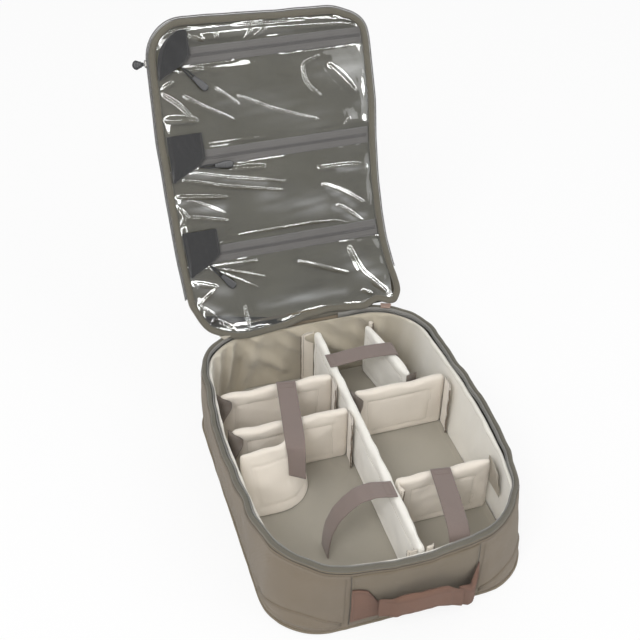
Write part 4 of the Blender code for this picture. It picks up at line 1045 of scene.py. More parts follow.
# The lid's soft edge in the photograph: how far its sides and far edge stand off a plain rounded
# rectangle (place along it, distance), and where its near edge hangs (across, from the hinge)
LEFT_SHIFTS = ((0.03, 0.0), (0.09, -0.004), (0.14, -0.0055), (0.25, -0.0055), (0.30, -0.0035), (0.36, -0.002))
RIGHT_SHIFTS = ((0.03, -0.002), (0.05, -0.0055), (0.08, -0.0095), (0.12, -0.011), (0.16, -0.0095),
                (0.22, -0.0065), (0.27, -0.001), (0.35, 0.003))
FAR_SHIFTS = ((-0.12, 0.0), (-0.07, -0.0015), (-0.02, -0.0025), (0.03, -0.0045), (0.09, -0.008),
              (0.12, -0.010), (0.145, -0.004))
NEAR_EDGE = ((-0.147, 0.035), (-0.141, 0.022), (-0.137, 0.012), (-0.130, 0.0), (-0.123, -0.0055),
             (-0.104, -0.014), (-0.0935, -0.0175), (-0.074, -0.020), (-0.046, -0.018), (-0.017, -0.015),
             (-0.002, -0.011), (0.0125, -0.0085), (0.042, -0.0065), (0.063, -0.008), (0.092, -0.0115),
             (0.103, -0.008), (0.113, -0.003), (0.121, -0.007), (0.129, -0.010), (0.138, -0.010),
             (0.145, -0.0015), (0.1495, 0.006), (0.1495, 0.016), (0.146, 0.032))


def soft_sides(local):
    """Moves places by the lid's long sides and far edge to the soft outline that the photograph shows."""
    across, rise = local[..., 0].copy(), local[..., 1].copy()
    left = smooth_step((-across - 0.075) / 0.06) * np.interp(rise, *zip(*LEFT_SHIFTS))
    right = smooth_step((across - 0.075) / 0.06) * np.interp(rise, *zip(*RIGHT_SHIFTS))
    far = smooth_step((rise - 0.365) / 0.03) * np.interp(across, *zip(*FAR_SHIFTS))
    local = local.copy()
    local[..., 0] += left + right
    local[..., 1] += far
    return local


def lid_outline():
    """The lid's edge, once round from its near left corner by the far edge, and its outward directions."""
    half = LID_WIDTH / 2
    far = LID_START + LID_LENGTH
    radius = LID_FAR_RADIUS
    sides = np.linspace(0.045, far - radius, 40)
    turn = np.radians(np.linspace(180, 90, 24))
    arc = np.stack([radius - half + radius * np.cos(turn), far - radius + radius * np.sin(turn)], 1)
    flip = np.array([-1, 1])
    left = np.concatenate([np.stack([np.full(40, -half), sides], 1), arc])
    line = soft_sides(np.concatenate([left, left[::-1] * flip]))
    line = np.concatenate([line, np.array(NEAR_EDGE)[::-1]])
    line = resample(np.concatenate([line, line[:1]]), 0.0012)[:-1]
    for _ in range(14):
        line = (np.roll(line, 1, 0) + 2 * line + np.roll(line, -1, 0)) / 4
    along = unit(np.roll(line, -1, 0) - np.roll(line, 1, 0))
    return line, np.stack([-along[:, 1], along[:, 0]], 1)


LID_LINE, LID_OUTWARD = lid_outline()


def near_line(across):
    """How far from the hinge the lid's near edge is, at places across it."""
    low = (LID_OUTWARD[:, 1] < -0.15) & (LID_LINE[:, 1] < 0.06)
    order = np.argsort(LID_LINE[low, 0])
    return np.interp(across, LID_LINE[low, 0][order], LID_LINE[low, 1][order])


def forward(rise):
    """How far the lid's near edge hangs forward over the tub's rear rim."""
    return 0.0060 * smooth_step((0.010 - rise) / 0.025)


def lid_edge(share, inset, level, hanging=True):
    """Lid places round its edge, with the edge's soft waves."""
    share, inset, level = np.broadcast_arrays(*(np.asarray(value, float) for value in (share, inset, level)))
    place = np.mod(share, 1.0) * len(LID_LINE)
    stops = np.arange(len(LID_LINE) + 1)
    line, outward = (
        np.stack([np.interp(place, stops, np.append(column, column[0])) for column in values[:, :2].T], -1)
        for values in (LID_LINE, LID_OUTWARD)
    )
    flat = np.concatenate([line, np.zeros(line.shape[:-1] + (1,))], -1)
    wave = 0.0005 * ripple(flat, 0.10, 61)
    line = line + outward * (wave - inset)[..., None]
    local = np.concatenate([line, level[..., None]], -1)
    local[..., 2] += 0.0016 * ripple(flat, 0.22, 62)
    if hanging:
        local[..., 2] += forward(local[..., 1])
    return local


def lid_soft(local):
    """Bends lid places a little: out to its soft outline, slow waves out of its plane."""
    local = soft_sides(local)
    local[..., 2] += 0.0016 * ripple(local * FLAT, 0.22, 62) + forward(local[..., 1])
    return local


def hung(local, low, inset):
    """Carries the straight lower edge of the lid's cloth down to its hanging near edge."""
    local = local.copy()
    share = smooth_step((local[..., 1] - low) / 0.06)
    local[..., 1] += (near_line(local[..., 0]) + inset - low) * (1 - share)
    return local


def lid_half(rise, inset, corner=LID_FAR_RADIUS):
    """Half the lid's width inside an inset, at rises from the hinge."""
    rise = np.asarray(rise, float)
    radius = corner - inset
    over = np.maximum(rise - (LID_START + LID_LENGTH - corner), 0)
    return LID_WIDTH / 2 - inset - (radius - np.sqrt(np.maximum(radius**2 - over**2, 0)))


def hinge_cloth(*pieces):
    """Bakes the placement of cloth at the lid's near edge into its mesh."""
    for shown in pieces:
        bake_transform(shown)


def lid_cover():
    """The lid's outer fabric, quilted softly over its foam, with its turned-up side."""
    shares = np.linspace(0, 1, 520, endpoint=False)
    rows = []
    section = [(0.0050, -0.0080), (0.0026, -0.0078), (0.0010, -0.0070), (0.0002, -0.0058), (0.0, -0.0045),
               (0.0002, -0.0031), (0.0008, -0.0026), (0.0014, -0.0030), (0.0015, -0.0060)]
    edge = lid_edge(shares, 0.0075, -0.0079, hanging=False)
    middle = np.array([0.0, LID_START + LID_LENGTH / 2, 0.0])
    for scale in (0.0, 0.15, 0.3, 0.45, 0.6, 0.72, 0.82, 0.9, 0.96, 1.0):
        row = (edge - middle) * scale + middle
        flat = row * FLAT
        row[:, 2] = -0.0077 - 0.0012 * (1 - scale**2) - 0.0005 * ripple(flat, 0.05, 63)
        row[:, 2] += 0.0016 * ripple(flat, 0.22, 62)
        rows.append(row)
    rows += [lid_edge(shares, inset, level, hanging=False) for inset, level in section]
    local = np.stack(rows, 0)
    local[..., 1] = np.maximum(local[..., 1], 0.0015 - 0.15 * (local[..., 2] + 0.008))
    cover = turned_out(grid_piece("lid_cover", on_lid(local), LID_OUT, False, True))
    stand_in(cover, "lid_fabric", "lid_outer_cover", "lid_foam_panel")
    line = lid_edge(shares, 0.0095, -0.0081, hanging=False)
    line[..., 1] = np.maximum(line[..., 1], 0.0095)
    line = on_lid(line)
    places, outs = Surface(cover).onto(line, -LID_NORMAL)
    seam = stitch_row("lid_cover_stitches", places, outs, THREAD_DARK, closed=True)
    hinge_cloth(cover, seam)


def lid_binding():
    """The rounded binding round the lid's inner face, with a fold line and stitches at its inner edge."""
    shares = np.linspace(0, 1, 760, endpoint=False)
    section = []
    for step in range(9):
        angle = math.pi * (1 - step / 8)
        inset = 0.0046 - 0.0044 * math.cos(math.pi - angle)
        section.append((inset, 0.0006 + 0.0029 * math.sin(angle) ** 0.8))
    section += [(0.0092, -0.0004), (0.0085, -0.0012), (0.0050, -0.0014), (0.0010, -0.0013), (0.0002, -0.0004)]
    rows = []
    for inset, level in section:
        row = lid_edge(shares, inset, level)
        if level > 0.0005:
            row[:, 2] += 0.00035 * ripple(row * FLAT, 0.022, 64) - 0.0001
            row[:, 2] -= 0.0007 * bell(inset, 0.0070, 0.0009)
        rows.append(row)
    grid = on_lid(np.stack(rows, 1))
    band = turned_out(grid_piece("lid_binding_band", grid, BINDING, True, True))
    top = np.array([level for _, level in section])
    paint(band, "wear", np.broadcast_to(np.clip((top - 0.0022) / 0.0013, 0, 1) * 0.35, grid.shape[:2]))
    stand_in(band, "binding", "lid_binding")
    line = on_lid(lid_edge(shares, 0.0070, 0.0034))
    places, outs = Surface(band).onto(line, LID_NORMAL)
    seam = stitch_row("lid_binding_stitches", places, outs, THREAD_DARK, closed=True)
    hinge_cloth(band, seam)


def lid_zip():
    """The lid's half of the closing zip, round its left, far and right sides."""
    total = np.linspace(0, 1, 1000)
    rises = lid_edge(total, 0.0, 0.0)[:, 1]
    first, last = np.argmax(rises > 0.040), np.argmin((rises > 0.040) | (total < 0.3))
    shares = total[first:last]
    section = ((-0.0003, -0.0078), (-0.0012, -0.0078), (-0.0012, -0.0050), (-0.0012, -0.0027),
               (-0.0003, -0.0027), (-0.0003, -0.0050))
    grid = on_lid(np.stack([lid_edge(shares, inset, level) for inset, level in section], 1))
    tape = closed_piece("lid_zip_tape_cloth", grid, ZIP_TAPE)
    stand_in(tape, "zip_grey", "lid_zip_tape")
    line = resample(on_lid(lid_edge(shares, -0.0026, -0.0035)), 0.0016)
    outward = unit(on_lid(lid_edge(shares, -0.004, -0.0035)) - on_lid(lid_edge(shares, -0.001, -0.0035)))
    pick = np.linspace(0, len(shares) - 1, len(line)).round().astype(int)
    teeth = bead_row("lid_zip_teeth", line, outward[pick], LID_NORMAL, (0.0011, 0.00055, 0.0009), COIL)
    cord = tube("lid_zip_coil_cord", line[::3], 0.0006, COIL, False, 6)
    coil = join("lid_zip_coil_row", [teeth, cord])
    stand_in(coil, "coil_grey", "lid_zip_coil")
    ride_all("lid", tape, coil)


def lid_lining():
    """The lining under the pockets: loose cloth with shallow creases that stay below the clear fronts."""
    rises = np.linspace(LID_START + 0.0082, LID_START + LID_LENGTH - 0.0082, 170)
    half = lid_half(rises, 0.0082)
    across = np.linspace(-1, 1, 130)[None] * half[:, None]
    local = lid_rows(rises, across)
    crease = ripple(local * np.array([1.0, 1.8, 0]), 0.07, 65, 3)
    local[..., 2] = -0.0021 + 0.0009 * np.clip(crease, -1.2, 1.2)
    for rise in ZIP_RISES:
        near = bell(local[..., 1], rise, 0.012)
        local[..., 2] = local[..., 2] * (1 - near) - 0.0013 * near
    grid = on_lid(lid_soft(hung(local, rises[0], 0.0045)))
    lining = sheet_piece("lid_lining_cloth", grid, 0.0006, LID_IN, roll=0.5, lift=-0.0004)
    stand_in(lining, "lid_fabric", "lid_lining")
    hinge_cloth(lining)


# Painted glare on the film, streaks of stronger mirror reflection: a line from one place to another in
# millimetres, how wide, and how strong
PAINTED_GLARES = (
    ((78, 315), (127, 314), 30, 0.07), ((126, 268), (99, 235), 14, 0.07), ((84, 186), (130, 179), 8, 0.25),
    ((67, 162), (122, 117), 12, 0.22), ((69, 135), (125, 99), 10, 0.20), ((-121, 211), (-21, 183), 10, 0.22),
    ((-138, 175), (-84, 156), 14, 0.30), ((81, 63), (141, 10), 26, 0.22), ((-135, 66), (-91, 46), 14, 0.24),
    ((-129, 37), (-86, 2), 12, 0.20), ((-51, 22), (68, 18), 12, 0.22), ((-20, 160), (50, 142), 30, 0.16),
    ((-76, 393), (42, 376), 12, 0.12), ((-60, 300), (60, 262), 40, 0.06),
)


def line_gap(flat, start, end):
    """How far flat places are from the straight line between two of them."""
    step = end - start
    share = np.clip(((flat - start) @ step) / (step @ step), 0, 1)
    return np.linalg.norm(flat - start - share[..., None] * step, axis=-1)


def painted_glare_strengths(local):
    """How strongly painted glare raises the film's reflection at its places, broken into streaks."""
    flat = local[..., :2] * 1000
    strength = np.zeros(local.shape[:-1])
    for start, end, width, most in PAINTED_GLARES:
        gap = line_gap(flat, np.array(start, float), np.array(end, float))
        strength = np.maximum(strength, most * bell(gap, 0, width / 2))
    streaks = 0.65 + 0.45 * ripple(local * np.array([0.35, 2.2, 0]), 0.03, 44)
    return strength * np.clip(streaks, 0.15, 1.3)


# Creases in the clear film: places across and up the lid in millimetres, then how wide and how high
CREASES = (
    (((-9, 392), (-9, 383), (-20, 374)), 3.0, 1.6),
    (((10, 388), (6, 379), (-17, 372)), 3.2, 1.6),
    (((-92, 387), (-75, 377)), 7.0, 2.2),
    (((-58, 391), (-56, 379)), 4.0, 1.2),
    (((122, 384), (131, 373), (135, 361)), 3.0, 1.4),
    (((-108, 341), (-83, 341)), 6.0, 2.0),
    (((-67, 314), (-40, 290)), 3.0, 1.3),
    (((-108, 309), (-83, 290), (-50, 272)), 3.0, 1.5),
    (((-121, 328), (-136, 321)), 4.0, 1.6),
    (((-137, 317), (-117, 301), (-105, 284)), 3.5, 1.8),
    (((-137, 282), (-100, 277)), 8.0, 2.4),
    (((76, 338), (52, 330), (54, 305), (71, 287)), 3.0, 1.5),
    (((109, 251), (97, 241), (70, 240)), 3.0, 1.4),
    (((90, 323), (118, 290)), 9.0, 1.6),
    (((-38, 300), (7, 276), (63, 256)), 3.5, 1.5),
    (((-85, 244), (-10, 243)), 3.0, 1.2),
    (((-62, 208), (-19, 205)), 6.0, 1.8),
    (((-113, 210), (-70, 197), (5, 181)), 3.2, 1.7),
    (((-123, 202), (-75, 186), (0, 170)), 3.2, 1.7),
    (((-137, 182), (-77, 172)), 5.0, 2.0),
    (((-120, 176), (-82, 152)), 4.0, 1.8),
    (((-139, 174), (-125, 155), (-138, 139)), 4.0, 1.9),
    (((-124, 153), (-80, 141)), 4.0, 1.6),
    (((-65, 120), (26, 120), (70, 118), (105, 104)), 2.6, 1.3),
    (((75, 138), (122, 107)), 5.0, 1.5),
    (((57, 191), (120, 188)), 7.0, 1.5),
    (((60, 168), (120, 136)), 8.0, 1.5),
    (((-112, 84), (-49, 82)), 6.0, 2.0),
    (((-108, 80), (-53, 46)), 3.0, 1.5),
    (((-102, 80), (-40, 58)), 3.0, 1.4),
    (((-139, 67), (-108, 56)), 8.0, 2.4),
    (((-109, 52), (-136, 34)), 3.5, 1.8),
    (((-134, 35), (-112, 16), (-124, 6)), 3.2, 1.7),
    (((-113, 12), (-92, -6)), 3.0, 1.6),
    (((-73, 22), (-72, -4)), 3.2, 1.5),
    (((84, 76), (97, 41), (128, 10)), 9.0, 2.0),
    (((11, 70), (75, 44)), 6.0, 1.4),
    (((-72, -9), (-27, -9)), 2.6, 1.2),
    (((95, 16), (108, 8)), 5.0, 1.6),
)


def crease_heights(local):
    """How high the listed creases stand at film places."""
    height = np.zeros(local.shape[:-1])
    flat = local[..., :2] * 1000
    for line, width, tall in CREASES:
        stops = np.array(line, float)
        line = rounded(stops, 4.0, 4) if len(stops) > 2 else resample(stops, 4.0)
        near = np.full(local.shape[:-1], 1e9)
        for index, (start, end) in enumerate(zip(line[:-1], line[1:])):
            fade = 0.55 + 0.45 * math.sin(math.pi * (index + 0.5) / (len(line) - 1))
            near = np.minimum(near, line_gap(flat, start, end) / (width * 0.5 * fade))
        height = np.maximum(height, tall * 0.001 * np.exp(-(near**2)))
    return height


def window_wrinkles(local, low, high, seed):
    """Height of the clear film over its lining: flat along its sewn edges, rippled and creased between."""
    up = (local[..., 1] - low) / (high - low)
    gap = np.minimum(up, 1 - up) * (high - low)
    inner = smooth_step(gap / 0.012) * 0.9 + 0.1
    side = (lid_half(local[..., 1], BINDING_WIDE + 0.001) - np.abs(local[..., 0])) / 0.012
    inner = inner * smooth_step(side + 0.2)
    long_waves = ripple(local * np.array([0.55, 1.7, 0]), 0.10, seed)
    hem = bell(gap, 0.0028, 0.0014) * (0.55 + 0.45 * ripple(local * (1, 0, 0), 0.05, seed + 3))
    height = 0.0012 + 0.0006 * long_waves + crease_heights(local)
    return np.clip(0.0002 + height * inner + 0.0007 * hem, 0.0001, 0.0042)


def lid_windows():
    """The clear strip above the top zip and the three clear pocket fronts."""
    edges = [(WINDOW_TOP, ZIP_RISES[0] + TAPE_WIDE / 2 - 0.001)]
    for index, rise in enumerate(ZIP_RISES):
        bottom = ZIP_RISES[index + 1] + TAPE_WIDE / 2 - 0.001 if index < 2 else WINDOW_BOTTOM
        edges.append((rise - TAPE_WIDE / 2 + 0.001, bottom))
    names = ("window_strip", "pocket_window_1", "pocket_window_2", "pocket_window_3")
    for index, ((high, low), node) in enumerate(zip(edges, names)):
        rises = np.linspace(low, high, int((high - low) / 0.0011))
        half = lid_half(rises, BINDING_WIDE - 0.0008)
        across = np.linspace(-1, 1, 280)[None] * half[:, None]
        local = lid_rows(rises, across)
        if node == names[-1]:
            local = hung(local, low, 0.0070)
            low = local[0, :, 1]
        local[..., 2] = window_wrinkles(local, low, high, 70 + 5 * index)
        film = grid_piece(node + "_film", on_lid(lid_soft(local)), VINYL)
        # Painted glare: streaks of stronger reflection on the film.
        paint(film, "haze_and_painted_glare", painted_glare_strengths(local))
        stand_in(film, "clear_vinyl", node)
        if node == names[-1]:
            hinge_cloth(film)
        else:
            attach(film, "lid")


POCKET_ZIP_START = -0.1111
POCKET_TAPE_SECTION = (
    (-0.0110, 0.0004), (-0.0105, 0.0009), (-0.0060, 0.0008), (-0.0030, 0.0008), (0.0030, 0.0008),
    (0.0060, 0.0008), (0.0105, 0.0009), (0.0110, 0.0004), (0.0110, -0.0001), (-0.0110, -0.0001),
)


def pocket_zips():
    """Three pocket zips: woven tape with sewn lines, and a closed nylon coil."""
    for number, rise in enumerate(ZIP_RISES, 1):
        end = float(lid_half([rise], BINDING_WIDE + 0.0006)[0])
        across = np.linspace(POCKET_ZIP_START, end, 190)
        rows = []
        for offset, level in POCKET_TAPE_SECTION:
            row = row_at(across, rise + offset, level)
            if level > 0.0005:
                row[:, 2] += 0.00015 * ripple(row * FLAT, 0.03, 80 + number)
            rows.append(row)
        grid = on_lid(lid_soft(np.stack(rows, 1)))
        tape = closed_piece(f"pocket_zip_tape_cloth_{number}", grid, ZIP_TAPE)
        stand_in(tape, "zip_grey", f"pocket_zip_tape_{number}")
        local = row_at(np.arange(POCKET_ZIP_START + 0.002, end - 0.002, 0.0013), rise, 0.00125)
        teeth = []
        for shift in ((0, -0.0011, 0), (0.00065, 0.0011, 0)):
            places = on_lid(lid_soft(local + shift))
            teeth.append(bead_row("teeth", places, LID_UP, LID_NORMAL, (0.0014, 0.00055, 0.0005), COIL))
        coil = join(f"pocket_zip_coil_{number}", teeth)
        seams = []
        for offset in (-0.0086, -0.0052, 0.0052, 0.0086):
            line = on_lid(lid_soft(row_at(across, rise + offset, 0.00095)))
            seams.append(stitch_row("seam", line, LID_NORMAL, THREAD_GREY, thick=0.00025))
        seam = join(f"pocket_zip_stitches_{number}", seams)
        ride_all("lid", tape, coil, seam)


GARAGE_WIDE = 0.042
GARAGE_ABOVE = 0.034
GARAGE_BELOW = 0.026
GARAGE_SLOPE = 0.031
GARAGE_CORNER_RADIUS = 0.061


def garages():
    """Black flaps over the parked sliders, sewn down on the left and swelling over the slider."""
    for number, rise in enumerate(ZIP_RISES, 1):
        places = np.linspace(rise - GARAGE_BELOW, rise + GARAGE_ABOVE, 56)
        left = -lid_half(places, BINDING_WIDE + 0.0010, GARAGE_CORNER_RADIUS)
        slope = np.minimum((places - rise + GARAGE_BELOW) / GARAGE_SLOPE, 1)
        right = np.maximum(-LID_INSIDE + GARAGE_WIDE * np.sin(math.pi / 2 * slope), left + 0.003)
        right = np.minimum(right, GARAGE_WIDE - LID_INSIDE)
        share = np.linspace(0, 1, 40)[None]
        across = left[:, None] + (right - left)[:, None] * share
        local = lid_rows(places, across)
        full = smooth_step(share / 0.16)
        crease = ripple(local * np.array([1.6, 1, 0]), 0.03, 90 + number)
        local[..., 2] = np.minimum(0.0012 + 0.0050 * full + 0.0005 * crease * full, 0.0066)
        grid = on_lid(lid_soft(local))
        flap = sheet_piece(f"zip_garage_flap_{number}", grid, 0.0007, GARAGE, roll=0.6)
        stand_in(flap, "black_fabric", f"zip_garage_{number}")
        edge = on_lid(lid_soft(local[3:-3, -3])) + LID_NORMAL * 0.002
        places, outs = Surface(flap).onto(edge, LID_NORMAL)
        seam = stitch_row(f"zip_garage_stitches_{number}", places, outs, THREAD_GREY, thick=0.00022)
        ride_all("lid", flap, seam)


SLIDER_ACROSS = -0.104
SLIDER_LOW = 0.0021
PULL_LEVEL = 0.0047
PULL_ROOTS = ((-0.0045, -0.013), (0.0, -0.0105), (-0.007, -0.0145))
PULL_LEANS = (-48.0, -2.0, -50.0)


def carried(origin, turn=np.eye(3)):
    """A function that carries a small piece's own places to its place on the lid."""
    def carry(points):
        return on_lid(np.asarray(points, float) @ turn + origin)

    return carry


def oval_ring(along, wide, tall, power, lift=0.0):
    """A ring of places round X, squarer with a lower power."""
    ring = []
    for step in range(20):
        turn_cos, turn_sin = math.cos(math.pi * step / 10), math.sin(math.pi * step / 10)
        across = math.copysign(abs(turn_cos) ** power, turn_cos) * wide
        ring.append((along, across, math.copysign(abs(turn_sin) ** power, turn_sin) * tall + lift))
    return ring


def rounded_body(name, length, width, height, carry, waist=0.0):
    """A metal body with rounded corners, waisted in plan."""
    rows = []
    for step in range(15):
        share = -1 + 2 * step / 14
        narrow = max((1 - abs(share) ** 4) ** 0.5, 0.35)
        wide = width / 2 * narrow * (1 - waist * math.cos(math.pi * share / 2) ** 2)
        tall = height / 2 * max((1 - abs(share) ** 6) ** 0.5, 0.55)
        rows.append(oval_ring(share * length / 2, wide, tall, 0.5))
    return closed_piece(name, carry(np.array(rows)), METAL)


def pull_shape(name, cord_long, paddle_long, wide, carry, thick=0.0029, cord_radius=0.0011, apart=0.0019):
    """A doubled cord as the stem, and a rubber paddle that widens to a round end with grip ridges."""
    run = np.linspace(-0.0004, cord_long + 0.003, 24)
    cords = []
    for side in (-1, 1):
        across = side * apart * smooth_step(run / (cord_long * 0.5))
        line = np.stack([run, across, np.zeros(24)], 1)
        cords.append(tube("cord", carry(line), cord_radius, CORD, False, 8))
    rows = []
    for step in range(34):
        share = step / 33
        half = wide / 2 * min(0.62 + 0.38 * smooth_step(share * 1.5), 1.0)
        left = (1 - share) * paddle_long
        if left < wide / 2:
            half = min(half, math.sqrt(max((wide / 2) ** 2 - (wide / 2 - left) ** 2, 0)))
        ridges = 0.86 + 0.12 * math.cos(share * paddle_long * 2 * math.pi / 0.0032)
        tall = thick / 2 * ridges * min(1, 0.5 + left / 0.003)
        along = cord_long + 0.0002 + (paddle_long - 0.0002) * share
        rows.append(oval_ring(along, max(half, 0.0006), tall, 0.7, 0.0007))
    cord = join(name + "_stem", cords)
    return cord, closed_piece(name + "_paddle", carry(np.array(rows)), RUBBER)


def sliders_and_pulls():
    """Each pocket zip's slider with its bridge, and its pull."""
    for number, rise in enumerate(ZIP_RISES, 1):
        centre = np.array([SLIDER_ACROSS, rise, 0])
        body = rounded_body("body", 0.010, 0.008, 0.0022, carried(centre + UP * (SLIDER_LOW + 0.0011)), 0.25)
        bridge = rounded_body("bridge", 0.0075, 0.0022, 0.0016, carried(centre + UP * (SLIDER_LOW + 0.0027)))
        root = np.array([*PULL_ROOTS[number - 1], PULL_LEVEL])
        line = np.linspace((0, -0.001, PULL_LEVEL), root, 12)
        loop = tube("loop", carried(centre)(line), 0.0008, CORD, False, 8)
        slider = join(f"pocket_slider_body_{number}", [body, bridge, loop])
        stand_in(slider, "slider_metal", f"pocket_zip_slider_{number}")
        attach(slider, f"pocket_slider_{number}")
        lean = math.radians(PULL_LEANS[number - 1])
        lean_cos, lean_sin = math.cos(lean), math.sin(lean)
        turn = np.array([[lean_cos, lean_sin, 0], [-lean_sin, lean_cos, 0], [0, 0, 1]])
        cord, paddle = pull_shape(f"pocket_pull_{number}", 0.019, 0.025, 0.010, carried(centre + root, turn))
        stand_in(paddle, "black_rubber", f"pocket_zip_pull_{number}")
        ride_all(f"pocket_pull_{number}", cord, paddle)


def closing_slider():
    """The closing zip's slider on the lid's left edge, and its short pull."""
    low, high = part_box("closure_slider")
    centre = np.array((low + high) / 2)

    def at_slider(points):
        return points[..., [1, 0, 2]] @ LID_TURN + centre

    body = rounded_body("closing_slider_body", 0.0098, 0.0034, 0.0046, at_slider, 0.1)
    stand_in(body, "slider_metal", "closure_slider")
    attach(body, "closing_slider")
    _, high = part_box("closure_pull")
    root = np.array([high.x, centre[1], centre[2]])

    def at_pull(points):
        return (points * (-1, 1, 1)) @ LID_TURN + root

    cord, paddle = pull_shape("closing_pull", 0.0028, 0.0118, 0.0125, at_pull, 0.0062, 0.0016, 0.0012)
    stand_in(paddle, "black_rubber", "closure_pull")
    ride_all("closing_pull", cord, paddle)


def hinge():
    """The fabric strip that carries the lid, rolled over the hinge line."""
    profile = [(-0.0006, -0.030), (-0.0006, -0.020), (-0.0006, -0.010), (-0.0007, -0.0045)]
    for angle in np.radians(np.linspace(250, -70, 13)):
        profile.append((0.0023 * math.cos(angle), 0.0023 * math.sin(angle)))
    profile += [(0.0007, -0.0045), (0.0006, -0.010), (0.0006, -0.020), (0.0006, -0.030)]
    across = np.linspace(-0.108, 0.092, 90)
    _, line_along, line_high = LID_ORIGIN
    grid = np.stack([row_at(across, line_along + along, line_high + rise) for along, rise in profile], 1)
    grid[..., 1] += 0.0002 * ripple(grid, 0.03, 66)
    strip = closed_piece("hinge_strip_cloth", grid, LID_OUT)
    stand_in(strip, "lid_fabric", "hinge_strip")
    line = row_at(across, line_along + 0.0007, 0.1145)
    seam = stitch_row("hinge_strip_stitches", line, (0, 1.0, 0), THREAD_DARK)
    ride_all("tub", strip, seam)


def zip_end_tabs():
    """Folded tabs over the ends of the closing zip, left beige and right pinkish."""
    for name, cloth, slot in (("left", TAB_BEIGE, "tab_beige"), ("right", TAB_PINK, "tab_pink")):
        corners = np.array([vertex.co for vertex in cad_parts["zip_end_tab_" + name].data.vertices])
        shares = np.linspace(0, 1, 2000, endpoint=False)
        rim = wall(shares, TUB_HEIGHT, 0.003, soft=0.0)
        nearest = shares[np.argmin(np.linalg.norm(rim[:, :2] - corners.mean(0)[:2], axis=1))]
        along = nearest + np.linspace(-0.0054, 0.0054, 26)
        insets = np.linspace(-0.0026, 0.0084, 22)
        grid = np.stack([wall(along, TUB_HEIGHT, inset) for inset in insets], 1)
        crown = 0.0006 * (1 - ((insets - 0.003) / 0.006) ** 2)
        grid[..., 2] = rim_wave(grid) + 0.1153 + crown[None] + 0.0002 * ripple(grid, 0.01, 67)
        tab = sheet_piece("zip_end_tab_fold_" + name, grid, 0.0008, cloth, roll=0.5)
        stand_in(tab, slot, "zip_end_tab_" + name)
        inner = grid[2:-2, 2:-2]
        edge = np.concatenate([inner[0], inner[1:, -1], inner[-1, ::-1][1:], inner[::-1, 0][1:]])
        places, outs = Surface(tab).onto(edge + (0, 0, 0.003), UP)
        seam = stitch_row("zip_end_tab_stitches_" + name, places, outs, THREAD_LIGHT, 0.0022, 0.0002)
        ride_all("tub", tab, seam)


# Dividers


PAD_END = 0.006
PAD_SWELL = 0.0022
BOX_LOW = DIVIDER_LOW + 0.010
BOX_HIGH = DIVIDER_TOP - 0.0150


def pad_ring(top, half, narrow):
    """A pad's section: up one face, round its top, down the other face, and its foot."""
    low = DIVIDER_LOW
    shoulder = top - half * 0.75
    rises = low + 0.0015 + (shoulder - low - 0.0015) * np.linspace(0, 1, 21)
    crown = 0.84 + 0.16 * np.sin(math.pi * np.clip((rises - low) / (top - low) * 1.02, 0, 1)) ** 0.7
    angles = np.linspace(0, math.pi, 8)[1:-1]
    round_top = crown[-1] * half * np.cos(angles)
    offsets = np.concatenate([half * crown, round_top, -half * crown[::-1], [-half * 0.7, half * 0.7]])
    heights = np.concatenate([rises, shoulder + half * 0.75 * np.sin(angles), rises[::-1], [low, low]])
    return np.stack([offsets * narrow, heights], 1)


def pad_grid(foot, head, thick, dip, seed):
    """The rings of a pad between its plan lines at the foot and at the top, with a wavy top edge."""
    run = lengths(head)
    ends = np.clip(np.minimum(run, run[-1] - run) / PAD_END, 0, 1)
    narrow = np.sqrt(np.maximum(1 - (1 - ends) ** 2, 0)) * 0.55 + 0.45
    wave = 0.5 + 0.5 * np.sin(run * 2 * math.pi / 0.055 + seed)
    tops = DIVIDER_TOP - dip * wave - 0.0006 - 0.0012 * (1 - ends) ** 2
    rings = np.array([pad_ring(top, thick / 2 * 0.86, share) for top, share in zip(tops, narrow)])
    up = ((rings[..., 1] - DIVIDER_LOW) / (DIVIDER_TOP - DIVIDER_LOW))[..., None]
    plan_line = foot[:, None] * (1 - up) + head[:, None] * up
    along = unit(np.gradient(head, axis=0))
    left = np.stack([-along[:, 1], along[:, 0]], 1)
    return np.concatenate([plan_line + left[:, None] * rings[..., :1], rings[..., 1:]], -1)


def padded_wall(name, lines, thick, boxes, seed, dip=0.0012, cloth=PAD):
    """A foam pad in fabric on the floor pad, swollen by cloth pressure between its sewn boxes.

    lines are its plan at the foot and at the top. Each box has its start and end along the pad, and its
    lower and upper height.
    """
    foot, head = (np.asarray(line, float) for line in lines)
    count = max(int(lengths(head)[-1] / 0.0040), 16)
    foot, head = resample(foot, count=count), resample(head, count=count)
    pad = closed_piece(name, pad_grid(foot, head, thick, dip, seed), cloth)
    points = mesh_points(pad)
    places, _, _ = pad_places(points, foot, head)
    sewn = seam_press(places, points[:, 2], boxes, 0.0022) > 0.45
    puffed(pad, PAD_SWELL, sewn | (points[:, 2] < DIVIDER_LOW + 0.002))
    subdivided(pad)
    points = mesh_points(pad)
    places, offset, out = pad_places(points, foot, head)
    crumple = 0.0007 * ripple(points, 0.045, 100 + seed) * smooth_step((points[:, 2] - DIVIDER_LOW) / 0.01)
    press = seam_press(places, points[:, 2], boxes, 0.0016) * 0.0011
    side = np.sign(offset) * smooth_step((np.abs(offset) - 0.001) / 0.002)
    points[:, :2] += out * ((crumple - press) * side)[:, None]
    points[:, 2] = np.maximum(points[:, 2], DIVIDER_LOW)
    move_points(pad, points)
    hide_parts(name.removesuffix("_pad"))
    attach(pad, name.removesuffix("_pad"))
    return pad


